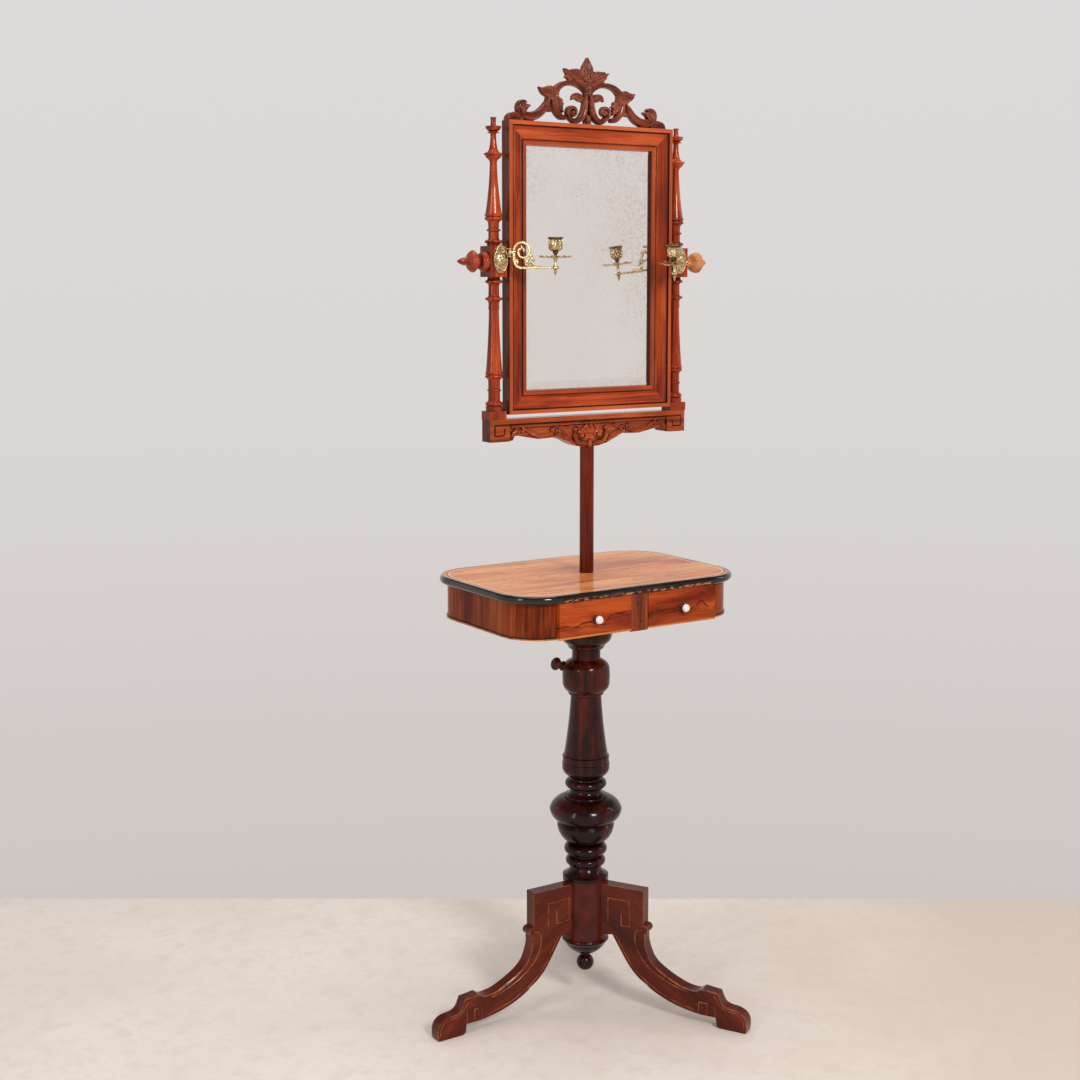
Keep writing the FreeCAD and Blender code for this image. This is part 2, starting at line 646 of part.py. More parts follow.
def leg(angle):
    """A sawn leg: square head, hollow-swept shank, padded foot. Its plane is radial."""
    at = upright(-LEG_THICK / 2)
    head, toe = LEG_HEAD_REACH, LEG_REACH
    socket, foot = LEG_SOCKET_RADIUS, LEG_CROTCH - LEG_CROTCH_SET
    hub = [(socket, foot), (socket, LEG_TOP), (head, LEG_TOP), (head, LEG_TOP - LEG_EDGE_DROP)]
    outer_sweep = [(head + dx, LEG_TOP - drop) for dx, drop in LEG_OUTER_SWEEP]
    pad = [(toe - back, height) for back, height in LEG_PAD]
    toe_round = [(toe - back, height) for back, height in LEG_TOE]
    heel = [(toe - back, height) for back, height in LEG_HEEL]
    under_sweep = [(head + dx, height) for dx, height in LEG_UNDER_SWEEP]
    edges = []

    def straight(points):
        for start, end in zip(points, points[1:]):
            edges.append(Part.LineSegment(at(*start), at(*end)).toShape())

    straight(hub + outer_sweep[:1])
    edges.append(curve(outer_sweep, at))
    straight([outer_sweep[-1]] + pad + toe_round[:1])
    edges.append(curve(toe_round, at))
    straight([toe_round[-1]] + heel + under_sweep[:1])
    edges.append(curve(under_sweep, at))
    straight([under_sweep[-1], (socket + LEG_CROTCH_RUN, foot), hub[0]])
    board = Part.Face(Part.Wire(edges)).extrude(-FRONT * LEG_THICK)
    roll_centre = at(head + LEG_ROLL_PROUD, LEG_TOP - LEG_ROLL_DROP)
    roll = rod(LEG_ROLL_RADIUS, LEG_THICK, roll_centre, -FRONT)
    board = fused([board, roll])
    board.rotate(V(0, 0, 0), UP, angle)
    return board


def pendant_finial():
    centre = BOWL_FOOT - FINIAL_BALL_DROP
    ball = Part.makeSphere(FINIAL_BALL_RADIUS, V(0, 0, centre))
    neck = rod(FINIAL_NECK_RADIUS, FINIAL_BALL_DROP, V(0, 0, centre), UP)
    tenon = rod(FINIAL_TENON_RADIUS, FINIAL_TENON_LENGTH - SLIDE_GAP, V(0, 0, BOWL_FOOT), UP)
    return fused([ball, neck, tenon])


def clamp_line():
    """Start of the clamp screw against the mast, and its rising direction."""
    tilt = math.radians(CLAMP_TILT)
    return V(-BORE_RADIUS, 0, CLAMP_Z), V(-math.cos(tilt), 0, math.sin(tilt))


def clamp_screw():
    """A round shank, cut flat where it bears on the mast."""
    start, along = clamp_line()
    radius = CLAMP_SCREW_RADIUS
    shank = rod(radius, CLAMP_SCREW_LENGTH + radius, start - along * radius, along)
    reach = 4 * CLAMP_SCREW_RADIUS
    return shank.cut(block(-BORE_RADIUS, BORE_RADIUS, -reach, reach, CLAMP_Z - reach, CLAMP_Z + reach))


def clamp_knob():
    start, along = clamp_line()
    knob = turned(CLAMP_KNOB_STEPS[0][1], CLAMP_KNOB_STEPS)
    depth = CLAMP_SCREW_LENGTH - CLAMP_KNOB_START + SLIDE_GAP
    knob = knob.cut(rod(CLAMP_SCREW_RADIUS + PIVOT_GAP, depth, V(0, 0, 0), UP))
    return aimed(knob, start + along * CLAMP_KNOB_START, along)


# ================================================================ table
def table_screw_shapes():
    screws = []
    for quarter in range(4):
        turn = math.radians(45 + 90 * quarter)
        foot = V(math.cos(turn), math.sin(turn), 0) * TABLE_SCREW_CIRCLE
        foot += UP * (BOARD_TOP - TABLE_SCREW_LENGTH)
        shank = rod(TABLE_SCREW_RADIUS, TABLE_SCREW_LENGTH, foot, UP)
        sink = TABLE_SCREW_HEAD - TABLE_SCREW_RADIUS
        neck = foot + UP * (TABLE_SCREW_LENGTH - sink)
        head = Part.makeCone(TABLE_SCREW_RADIUS, TABLE_SCREW_HEAD, sink, neck, UP)
        screws.append(fused([shank, head]))
    return screws


def table_top():
    board = slab(TOP_HALF_LENGTH, TOP_HALF_DEPTH, TOP_CORNER, TOP_UNDER, TOP_THICK)
    return board.cut(rod(BORE_RADIUS, TOP_THICK, V(0, 0, TOP_UNDER), UP))


def moulding_section(depth):
    """Half-round section: x outwards from the board's edge, z up from its underside."""
    flat = depth * MOULDING_FLAT
    corners = [(0, 0), (0, TOP_THICK), (flat, TOP_THICK), (flat, 0, flat - depth)]
    return outline(corners, lambda a, b: V(a, 0, b))


def top_moulding():
    """The half-round round the sides and back, stopped where the front strip begins."""
    path = rounded_face(TOP_HALF_LENGTH, TOP_HALF_DEPTH, TOP_CORNER, TOP_UNDER).OuterWire
    section = moulding_section(MOULDING_DEPTH)
    section.translate(V(TOP_HALF_LENGTH, 0, TOP_UNDER))
    ring = path.makePipeShell([section], True, False).Solids[0]
    half = FRONT_MOULDING_HALF
    opening = block(-half, half, -TOP_HALF_DEPTH * 2, 0, TOP_UNDER - 1, TABLE_TOP + 1)
    return ring.cut(opening)


def front_moulding():
    section = moulding_section(MOULDING_DEPTH + FRONT_MOULDING_PROUD)
    section.rotate(V(0, 0, 0), UP, -90)
    section.translate(V(-FRONT_MOULDING_HALF, -TOP_HALF_DEPTH, TOP_UNDER))
    return Part.Face(section).extrude(RIGHT * (2 * FRONT_MOULDING_HALF))


def apron_slab(proud, height):
    """A slab on the apron's foot, proud of its face or inside it."""
    half_x, half_y = APRON_HALF_LENGTH + proud, APRON_HALF_DEPTH + proud
    return slab(half_x, half_y, APRON_CORNER + proud, TABLE_UNDER, height)


def apron():
    """Bent sides and back of the box, open at the front for the drawers."""
    outer = apron_slab(0, APRON_HEIGHT)
    inner = apron_slab(-APRON_WALL, APRON_HEIGHT)
    half = OPENING_HALF
    opening = block(-half, half, -APRON_HALF_DEPTH * 2, -APRON_HALF_DEPTH / 2, TABLE_UNDER, TOP_UNDER)
    return outer.cut(inner).cut(opening)


def base_moulding():
    """A small bead round the foot of the apron."""
    half = OPENING_HALF
    opening = block(-half, half, -APRON_HALF_DEPTH * 2, 0, TABLE_UNDER, TABLE_UNDER + BEAD_HEIGHT)
    return apron_slab(BEAD_PROUD, BEAD_HEIGHT).cut(apron_slab(0, BEAD_HEIGHT)).cut(opening)


def bottom_board():
    board = apron_slab(-APRON_WALL, BOARD_THICK)
    half = OPENING_HALF
    rail = block(-half, half, -RAIL_FACE, -APRON_HALF_DEPTH / 2, TABLE_UNDER, BOARD_TOP)
    lip = block(-half, half, -DRAWER_FACE, -RAIL_FACE, TABLE_UNDER, TABLE_UNDER + LIP_THICK)
    board = fused([board, rail, lip])
    notch = block(-STILE_HALF, STILE_HALF, -DRAWER_FACE * 2, -FRONT_BACK, TABLE_UNDER - 1, BOARD_TOP)
    board = board.cut(notch)
    board = board.cut(rod(BORE_RADIUS, BOARD_THICK, V(0, 0, TABLE_UNDER), UP))
    for screw in table_screw_shapes():
        board = board.cut(screw)
    return board


def centre_stile():
    face = DRAWER_FACE - STILE_SET_BACK
    return block(-STILE_HALF, STILE_HALF, -face, -FRONT_BACK, TABLE_UNDER - STILE_DROP, TOP_UNDER)


def partition_shapes():
    inner = STILE_HALF - PARTITION_THICK
    back = APRON_HALF_DEPTH - APRON_WALL
    wall = block(inner, STILE_HALF, -RAIL_FACE, back, BOARD_TOP, TOP_UNDER)
    return [wall, mirrored(wall)]


def guide_shapes():
    """Strips on the bottom board that keep each drawer straight."""
    outer = OPENING_HALF
    back = APRON_HALF_DEPTH - APRON_WALL - GUIDE_BACK_SPACE
    strip = block(outer - GUIDE_THICK, outer, -RAIL_FACE, back, BOARD_TOP, BOARD_TOP + GUIDE_HEIGHT)
    return [strip, mirrored(strip)]


# ================================================================ drawers
def drawer(side):
    """The pieces of the right drawer, or of the left one, as its mirror image."""
    place = (lambda shape: shape) if side == "right" else mirrored
    foot = BOARD_TOP + SLIDE_GAP
    front_foot = TABLE_UNDER + LIP_THICK + SLIDE_GAP
    front_head = TOP_UNDER - DRAWER_GAP
    inner_end, outer_end = STILE_HALF + DRAWER_GAP, FRONT_OUTER
    box_in, box_out = inner_end, OPENING_HALF - GUIDE_THICK - DRAWER_GAP
    back = -FRONT_BACK + DRAWER_LENGTH
    head = foot + DRAWER_SIDE_HEIGHT
    knob_x = (inner_end + outer_end) / 2
    knob_z = (front_foot + front_head) / 2 - KNOB_DROP
    front = block(inner_end, outer_end, -DRAWER_FACE, -FRONT_BACK, front_foot, front_head)
    face_centre = V(knob_x, -DRAWER_FACE, knob_z)
    front = front.cut(rod(KNOB_SPIGOT_RADIUS, KNOB_SPIGOT_LENGTH, face_centre, -FRONT))
    inner_side = block(box_in, box_in + DRAWER_WALL, -FRONT_BACK, back, foot, head)
    outer_side = block(box_out - DRAWER_WALL, box_out, -FRONT_BACK, back, foot, head)
    bay_in, bay_out = box_in + DRAWER_WALL, box_out - DRAWER_WALL
    panel_foot = foot + DRAWER_BOTTOM_RISE
    panel_head = panel_foot + DRAWER_BOTTOM_THICK
    panel = block(bay_in, bay_out, -FRONT_BACK, back - DRAWER_WALL, panel_foot, panel_head)
    end = block(bay_in, bay_out, back - DRAWER_WALL, back, foot, head)
    stem = turned(KNOB_STEM_STEPS[0][1], KNOB_STEM_STEPS)
    stem_length = rise_of(KNOB_STEM_STEPS)
    stem = fused([stem, rod(KNOB_SPIGOT_RADIUS, KNOB_SPIGOT_LENGTH, V(0, 0, 0), -UP)])
    cap = turned(KNOB_CAP_STEPS[0][1], KNOB_CAP_STEPS)
    name = f"drawer_{side}"
    keep(f"{name}_front", place(front))
    keep_group(f"{name}_sides", [place(inner_side), place(outer_side)])
    keep(f"{name}_bottom", place(panel))
    keep(f"{name}_back", place(end))
    keep(f"{name}_knob_stem", place(aimed(stem, face_centre, FRONT)))
    keep(f"{name}_knob_cap", place(aimed(cap, face_centre + FRONT * stem_length, FRONT)))


# ================================================================ mast, crossbar and posts
def mast():
    shaft = rod(MAST_RADIUS, MAST_SHOULDER - MAST_FOOT, V(0, 0, MAST_FOOT), UP)
    tenon = rod(MAST_TENON_RADIUS, MAST_TENON_LENGTH, V(0, 0, MAST_SHOULDER), UP)
    return fused([shaft, tenon])


def crossbar():
    """A straight bar whose lower edge is shaped: end blocks, two small swags a side and a central drop."""
    half, inner = BAR_HALF, BAR_HALF - BAR_BLOCK
    right_edge = [(half, BAR_FOOT), (inner, BAR_FOOT)]
    right_edge += [(inner - point[0], BAR_FOOT + point[1], *point[2:]) for point in BAR_SWAGS]
    right_edge += [
        (BAR_CENTRE_HALF, BAR_FOOT + BAR_CENTRE_RISE, -0.6),
        (BAR_TIP_HALF, BAR_FOOT - BAR_DROP, 2.4),
    ]
    left_edge = []
    for index, point in enumerate(right_edge):
        following = right_edge[index + 1] if index + 1 < len(right_edge) else (0, 0)
        swell = following[2] if len(following) == 3 else 0
        left_edge.append((-point[0], point[1], swell) if abs(swell) > 0 else (-point[0], point[1]))
    points = [(-half, BAR_TOP), (half, BAR_TOP)] + right_edge + left_edge[::-1]
    bar = Part.Face(outline(points, upright(-BAR_HALF_THICK))).extrude(V(0, 2 * BAR_HALF_THICK, 0))
    mortise = MAST_TENON_RADIUS + PIVOT_GAP
    bar = bar.cut(rod(mortise, MAST_TENON_LENGTH + SLIDE_GAP, V(0, 0, MAST_SHOULDER), UP))
    for x in (-POST_X, POST_X):
        bar = bar.cut(rod(POST_TENON_RADIUS, POST_TENON_LENGTH + SLIDE_GAP, V(x, 0, BAR_TOP), -UP))
    return bar


def post():
    """The right post: plinth, turned stretch, square block, turned stretch and tip."""
    half = POST_BLOCK / 2
    plinth = block(-half, half, -BAR_HALF_THICK, BAR_HALF_THICK, BAR_TOP, POST_TURNING_FOOT)
    tenon = rod(POST_TENON_RADIUS, POST_TENON_LENGTH, V(0, 0, BAR_TOP), -UP)
    lower = turned(POST_LOWER_STEPS[0][1], POST_LOWER_STEPS)
    lower.translate(UP * POST_TURNING_FOOT)
    square = block(-half, half, -half, half, BLOCK_FOOT, BLOCK_TOP)
    upper = turned(POST_UPPER_STEPS[0][1], POST_UPPER_STEPS)
    upper.translate(UP * BLOCK_TOP)
    whole = fused([tenon, plinth, lower, square, upper])
    whole = whole.cut(rod(PIVOT_SCREW_RADIUS + PIVOT_GAP, POST_BLOCK, V(-half, 0, PIVOT_Z), RIGHT))
    whole.translate(RIGHT * POST_X)
    for screw in plate_screw_shapes():
        whole = whole.cut(screw)
    return whole


# ================================================================ mirror
def frame_section(y_face):
    """Corners of the moulded section: inwards from the frame's outer edge, and depth. Arcs swell outwards."""
    y_glass = y_face + GLASS_SET_BACK + GLASS_REBATE_REST
    y_ogee_foot = y_face + OGEE_DROP
    y_ledge = y_face + GLASS_SET_BACK + GLASS_THICK + SLIDE_GAP / 2
    rebate = FRAME_WIDTH - REBATE_WIDTH
    ogee_start = OUTER_FILLET + QUIRK_SPLAY
    ogee_middle = (ogee_start + OGEE_END) / 2
    return [
        (0, FRAME_BACK),
        (0, y_face),
        (OUTER_FILLET, y_face),
        (OUTER_FILLET, y_face + QUIRK_DEPTH),
        (ogee_start, y_face + QUIRK_DEPTH - QUIRK_RISE),
        (ogee_middle, (y_face + QUIRK_DEPTH + y_ogee_foot) / 2 - QUIRK_RISE, -OGEE_HOLLOW),
        (OGEE_END, y_ogee_foot, OGEE_ROUND),
        (BEAD_START, y_ogee_foot),
        (BEAD_START + BEAD_SPLAY, y_ogee_foot - BEAD_RISE),
        (FRAME_WIDTH, y_ogee_foot + QUIRK_RISE, -BEAD_SWELL),
        (FRAME_WIDTH, y_glass),
        (rebate, y_glass),
        (rebate, y_ledge),
        (rebate - LEDGE_WIDTH, y_ledge),
        (rebate - LEDGE_WIDTH, FRAME_BACK),
    ]


def frame_member(length):
    """A mitred member along X, its outer edge at z = 0 and the rest of it below."""
    wire = outline(frame_section(-FRAME_FACE), lambda inward, depth: V(-length / 2, depth, -inward))
    stick = Part.Face(wire).extrude(RIGHT * length)
    half, width = length / 2, FRAME_WIDTH + 1
    deep = FRAME_FACE + FRAME_BACK
    corners = [(-half, 0), (half, 0), (half - width, -width), (-half + width, -width)]
    mitre = Part.Face(outline(corners, upright(-FRAME_FACE))).extrude(V(0, deep, 0))
    return stick.common(mitre)


def frame_members():
    top = frame_member(2 * FRAME_HALF)
    top.translate(UP * FRAME_TOP)
    bottom = frame_member(2 * FRAME_HALF)
    bottom.rotate(V(0, 0, 0), V(0, 1, 0), 180)
    bottom.translate(UP * FRAME_FOOT)
    right = frame_member(FRAME_HEIGHT)
    right.rotate(V(0, 0, 0), V(0, 1, 0), 90)
    right.translate(V(FRAME_HALF, 0, FRAME_MIDDLE))
    hole_start = FRAME_HALF - PIVOT_SCREW_DEPTH - SLIDE_GAP
    hole = PIVOT_SCREW_RADIUS + PIVOT_GAP
    right = right.cut(rod(hole, PIVOT_SCREW_DEPTH * 2, V(hole_start, 0, PIVOT_Z), RIGHT))
    for screw in backboard_screw_shapes():
        right = right.cut(screw)
    return {"frame_top": top, "frame_bottom": bottom, "frame_right": right, "frame_left": mirrored(right)}


def glass_halves():
    inset = FRAME_WIDTH - REBATE_WIDTH + GLASS_EDGE_GAP
    return FRAME_HALF - inset, FRAME_HEIGHT / 2 - inset


def mirror_glass():
    """Bevelled plate: a rebated edge and a flat field joined by four sloping facets."""
    half_x, half_z = glass_halves()
    middle = FRAME_MIDDLE
    back = GLASS_FACE + GLASS_THICK
    rim = back - GLASS_EDGE_THICK

    def corners(dx, dz, y):
        points = [V(sx * dx, y, middle + sz * dz) for sx, sz in ((-1, -1), (1, -1), (1, 1), (-1, 1))]
        return Part.makePolygon(points + points[:1])

    field = corners(half_x - BEVEL_WIDTH, half_z - BEVEL_WIDTH, GLASS_FACE)
    slope = Part.makeLoft([corners(half_x, half_z, rim), field], True, True)
    body = block(-half_x, half_x, rim, back, middle - half_z, middle + half_z)
    return fused([body, slope])


def backboard_halves():
    inset = FRAME_WIDTH - REBATE_WIDTH - LEDGE_WIDTH + BACKBOARD_EDGE_GAP
    return FRAME_HALF - inset, FRAME_HEIGHT / 2 - inset


def backboard():
    half_x, half_z = backboard_halves()
    front, middle = BACKBOARD_FACE, FRAME_MIDDLE
    board = block(-half_x, half_x, front, front + BACKBOARD_THICK, middle - half_z, middle + half_z)
    for screw in backboard_screw_shapes():
        board = board.cut(screw)
    return board


def backboard_screw_shapes():
    """Round-headed screws through the backboard's edge into the ledge of the stiles."""
    half_x, half_z = backboard_halves()
    back = BACKBOARD_FACE + BACKBOARD_THICK
    screws = []
    for sx in (-1, 1):
        for rise in BACKBOARD_SCREW_RISES:
            head_centre = V(sx * (half_x - BACKBOARD_SCREW_INSET), back, FRAME_MIDDLE + rise * half_z)
            shank = rod(BACKBOARD_SCREW_RADIUS, BACKBOARD_SCREW_LENGTH, head_centre, FRONT)
            head = rod(BACKBOARD_SCREW_HEAD, SCREW_HEAD_THICK, head_centre, -FRONT)
            screws.append(fused([shank, head]))
    return screws


def crest():
    """A pierced board: two big scrolls with volutes, sweeps that end in hooks, buds and a leaf spray."""
    front = CREST_CENTRE_Y - CREST_THICK / 2
    at = upright(front)

    def disc(x, z, radius):
        return Part.Face(Part.Wire(Part.Circle(at(x, z), FRONT, radius).toShape()))

    def leaf(points):
        return Part.Face(outline(points, at))

    base = FRAME_TOP
    scroll_z = base + CREST_SCROLL_RISE

    def oval(wide, tall):
        ellipse = Part.Ellipse(at(CREST_SCROLL_X, scroll_z), wide, tall)
        ellipse.Axis = FRONT
        ellipse.XAxis = RIGHT
        return Part.Face(Part.Wire(ellipse.toShape()))

    wide, tall = CREST_SCROLL_WIDE, CREST_SCROLL_TALL
    scroll = oval(wide, tall).cut(oval(wide - CREST_BAND, tall - CREST_BAND))
    volute = disc(CREST_VOLUTE_X, base + CREST_VOLUTE_RISE, CREST_VOLUTE_RADIUS)
    sweep_z = base + CREST_ARM_RISE
    sweep = disc(CREST_ARM_X, sweep_z, CREST_ARM_RADIUS)
    sweep = sweep.cut(disc(CREST_ARM_X, sweep_z, CREST_ARM_RADIUS - CREST_ARM_BAND))
    window = leaf([
        (CREST_SCROLL_X + CREST_SCROLL_WIDE - CREST_BAND, base),
        (CREST_HOOK_X, base),
        (CREST_HOOK_X, base + CREST_HOOK_RISE),
        (CREST_ARM_X, sweep_z),
        (CREST_SCROLL_X + CREST_SCROLL_WIDE - CREST_BAND, base + CREST_ARM_TOP),
    ])
    sweep = sweep.common(window)
    hook = disc(CREST_HOOK_X, base + CREST_HOOK_RISE, CREST_HOOK_RADIUS)
    notch_x, notch_z, notch_radius = CREST_NOTCH
    hook = hook.cut(disc(CREST_HOOK_X + notch_x, base + CREST_HOOK_RISE + notch_z, notch_radius))
    above = leaf([(0, base), (FRAME_HALF, base), (FRAME_HALF, base + CREST_HEIGHT), (0, base + CREST_HEIGHT)])
    bud = disc(CREST_BUD_X, base, CREST_BUD_RADIUS).common(above)

    def leaf_at(x, points):
        return leaf([(x + point[0], base + point[1], *point[2:]) for point in points])

    scroll_leaves = (CREST_SIDE_LEAF, CREST_INNER_LEAF, CREST_LOWER_LEAF)
    half = [scroll, volute, sweep, hook, leaf_at(0, CREST_FOOT), bud]
    half += [leaf_at(CREST_SCROLL_X, points) for points in scroll_leaves]
    plain = [face.extrude(-FRONT * CREST_THICK) for face in half]
    right_spray = [(0, CREST_SPRAY_FOOT)] + CREST_SPRAY
    left_spray = []
    for point, following in zip(CREST_SPRAY[-2::-1], CREST_SPRAY[:0:-1]):
        left_spray.append((-point[0], point[1], following[2]))
    last_swell = CREST_SPRAY[0][2]
    spray_points = [(0, CREST_SPRAY_FOOT, last_swell)] + right_spray[1:] + left_spray
    spray = leaf_at(0, spray_points).extrude(-FRONT * CREST_THICK)
    tie_half = CREST_TIE_HALF
    tie = block(-tie_half, tie_half, front, front + CREST_THICK, base, base + CREST_TIE_TALL)
    whole = fused(plain + [mirrored(solid) for solid in plain] + [spray, tie])
    wide_radius, small_radius = CREST_ROSETTE_RADII
    rosette_foot = V(0, front, base + CREST_ROSETTE_RISE)
    rosette = Part.makeCone(wide_radius, small_radius, CREST_ROSETTE_PROUD, rosette_foot, FRONT)
    return fused([whole, rosette])


def pivot_parts(side):
    """An iron screw in the block and the frame, and the turned knob on its end."""
    face = POST_X + BLOCK_FACE
    inner = FRAME_HALF - PIVOT_SCREW_DEPTH
    shoulder = face + SLIDE_GAP
    screw = rod(PIVOT_SCREW_RADIUS, shoulder + PIVOT_SOCKET_DEPTH - inner, V(inner, 0, PIVOT_Z), RIGHT)
    steps = PIVOT_KNOB_STEPS[side]
    knob = turned(steps[0][1], steps)
    knob = knob.cut(rod(PIVOT_SCREW_RADIUS, PIVOT_SOCKET_DEPTH, V(0, 0, 0), UP))
    knob = aimed(knob, V(shoulder, 0, PIVOT_Z), RIGHT)
    return (screw, knob) if side == "right" else (mirrored(screw), mirrored(knob))


# ================================================================ candle arms
def hinge_axis(side):
    sign = 1 if side == "right" else -1
    return V(sign * (POST_X - HINGE_INSET), -(BLOCK_FACE + HINGE_PROUD), PIVOT_Z + HINGE_RISE)


def plate_screw_shapes():
    """Screws of the right plate, above and below its boss."""
    screws = []
    for rise in (-PLATE_SCREW_SPREAD, PLATE_SCREW_SPREAD):
        centre = V(POST_X - PLATE_OFFSET, -(BLOCK_FACE + PLATE_THICK), PIVOT_Z + PLATE_RISE + rise)
        shank = rod(PLATE_SCREW_RADIUS, PLATE_THICK + PLATE_SCREW_BITE, centre, -FRONT)
        head = rod(PLATE_SCREW_HEAD, SCREW_HEAD_THICK, centre, FRONT)
        screws.append(fused([shank, head]))
    return screws


def sconce_plate():
    """The right cast plate: an oval with a domed boss and two lugs for the hinge."""
    centre = V(POST_X - PLATE_OFFSET, -BLOCK_FACE, PIVOT_Z + PLATE_RISE)
    ellipse = Part.Ellipse(V(0, 0, 0), PLATE_TALL_HALF, PLATE_HALF)
    plate = Part.Face(Part.Wire(ellipse.toShape())).extrude(UP * PLATE_THICK)
    boss = Part.Face(Part.Wire(Part.Ellipse(V(0, 0, 0), PLATE_BOSS_TALL_HALF, PLATE_BOSS_HALF).toShape()))
    boss = boss.extrude(UP * (PLATE_THICK + PLATE_BOSS_THICK))
    plate = fused([plate, boss])
    plate.Placement = FreeCAD.Placement(centre, FreeCAD.Rotation(V(0, 0, 1), V(-1, 0, 0), FRONT, "ZXY"))
    axis = hinge_axis("right")
    lugs = []
    for rise in (-BARREL_HALF - SLIDE_GAP - LUG_THICK, BARREL_HALF + SLIDE_GAP):
        foot = V(axis.x, axis.y, axis.z + rise)
        eye = rod(BARREL_RADIUS, LUG_THICK, foot, UP)
        west, east = axis.x - LUG_WEB_HALF, axis.x + LUG_WEB_HALF
        web = block(west, east, axis.y, -BLOCK_FACE, foot.z, foot.z + LUG_THICK)
        lugs.extend([eye, web])
    whole = fused([plate] + lugs)
    whole = whole.cut(hinge_pin("right"))
    for screw in plate_screw_shapes():
        whole = whole.cut(screw)
    return whole


def hinge_pin(side):
    length = 2 * (BARREL_HALF + SLIDE_GAP + LUG_THICK)
    return rod(HINGE_PIN_RADIUS, length, hinge_axis(side) - UP * (length / 2), UP)


def arm_path(side):
    """The arm's plane: out along its heading and up, drooping by its sag about the hinge."""
    sign = -1 if side == "right" else 1
    heading = math.radians(ARM_HEADINGS[side])
    sag = math.radians(ARM_SAGS[side])
    level = V(sign * math.cos(heading), -math.sin(heading), 0)
    out = level * math.cos(sag) - UP * math.sin(sag)
    up = level * math.sin(sag) + UP * math.cos(sag)
    origin = hinge_axis(side)
    return origin, out, up


def wire_sweep(points, radius, side):
    """A round wire along (out, up) points joined by lines and arcs."""
    origin, out, up = arm_path(side)
    edges = []
    for start, end in zip(points, points[1:]):
        p = origin + out * start[0] + up * start[1]
        q = origin + out * end[0] + up * end[1]
        if len(end) == 4:
            edges.append(Part.Arc(p, origin + out * end[2] + up * end[3], q).toShape())
        else:
            edges.append(Part.LineSegment(p, q).toShape())
    path = Part.Wire(edges)
    tangent = edges[0].tangentAt(edges[0].FirstParameter)
    start = origin + out * points[0][0] + up * points[0][1]
    section = Part.Wire(Part.Circle(start, tangent, radius).toShape())
    return path.makePipeShell([section], True, True).Solids[0]


def sconce_arm(side):
    """Cast arm: a hinge barrel, a swept lower bar, a C-scroll above it and an eye at its end."""
    origin, out, up = arm_path(side)
    barrel = rod(BARREL_RADIUS, 2 * BARREL_HALF, origin - UP * BARREL_HALF, UP)
    corner = ARM_BEND * (1 - 1 / math.sqrt(2))
    shoulder = ARM_SHOULDER * (1 - 1 / math.sqrt(2))
    lower = wire_sweep(
        [
            (0, 0),
            (ARM_NECK - ARM_SHOULDER, 0),
            (ARM_NECK, -ARM_SHOULDER, ARM_NECK - shoulder, -shoulder),
            (ARM_NECK, -ARM_DROP + ARM_BEND),
            (ARM_NECK + ARM_BEND, -ARM_DROP, ARM_NECK + corner, -ARM_DROP + corner),
            (ARM_LENGTH, -ARM_DROP),
        ],
        ARM_WIRE,
        side,
    )
    radius, centre = SCROLL_RADIUS, (SCROLL_OUT, SCROLL_RISE)
    west, low_x, low_z, east, top = (radius * share for share in SCROLL_TURNS)
    scroll = wire_sweep(
        [
            (centre[0] - radius, centre[1]),
            (centre[0] + radius, centre[1], centre[0], centre[1] + radius),
            (centre[0] - west, centre[1], centre[0] + low_x, centre[1] - low_z),
            (centre[0] + east, centre[1], centre[0], centre[1] + top),
        ],
        SCROLL_WIRE,
        side,
    )
    link = wire_sweep([(0, 0), (centre[0] - radius, centre[1])], ARM_WIRE, side)
    brace = wire_sweep([(centre[0] + low_x, centre[1] - low_z), (centre[0] + east, -ARM_DROP)], SCROLL_WIRE, side)
    eye_centre = origin + out * ARM_LENGTH - up * ARM_DROP
    eye = rod(EYE_RADIUS, 2 * EYE_HALF, eye_centre - up * EYE_HALF, up)
    whole = fused([barrel, lower, scroll, link, brace, eye])
    whole = whole.cut(rod(HINGE_PIN_RADIUS + PIVOT_GAP, 4 * BARREL_HALF, origin - UP * (2 * BARREL_HALF), UP))
    return whole.cut(rod(STEM_RADIUS, 4 * EYE_HALF, eye_centre - up * (2 * EYE_HALF), up))


def cup_place(side, rise):
    """A point on the cup's axis, rise above the straight part of the arm, and the axis itself."""
    origin, out, up = arm_path(side)
    return origin + out * ARM_LENGTH + up * (rise - ARM_DROP), up


def drip_pan(side):
    """A thin dished pan with a hub that stands on the arm's eye."""
    steps_out = [(0, 0), (PAN_RADIUS * PAN_FLAT, 0), (PAN_RADIUS, PAN_DISH)]
    under = [V(r, 0, z) for r, z in steps_out]
    over = [V(r, 0, z + PAN_SHEET) for r, z in reversed(steps_out)]
    pan = Part.Face(Part.makePolygon(under + over + under[:1])).revolve(V(0, 0, 0), UP, 360)
    hub_height = PAN_RISE - EYE_HALF
    hub = Part.makeCone(*PAN_HUB_RADII, hub_height, V(0, 0, -hub_height), UP)
    pan = fused([pan, hub]).cut(rod(STEM_RADIUS, PAN_RISE * 3, V(0, 0, -PAN_RISE * 2), UP))
    base, axis = cup_place(side, PAN_RISE)
    return aimed(pan, base, axis)


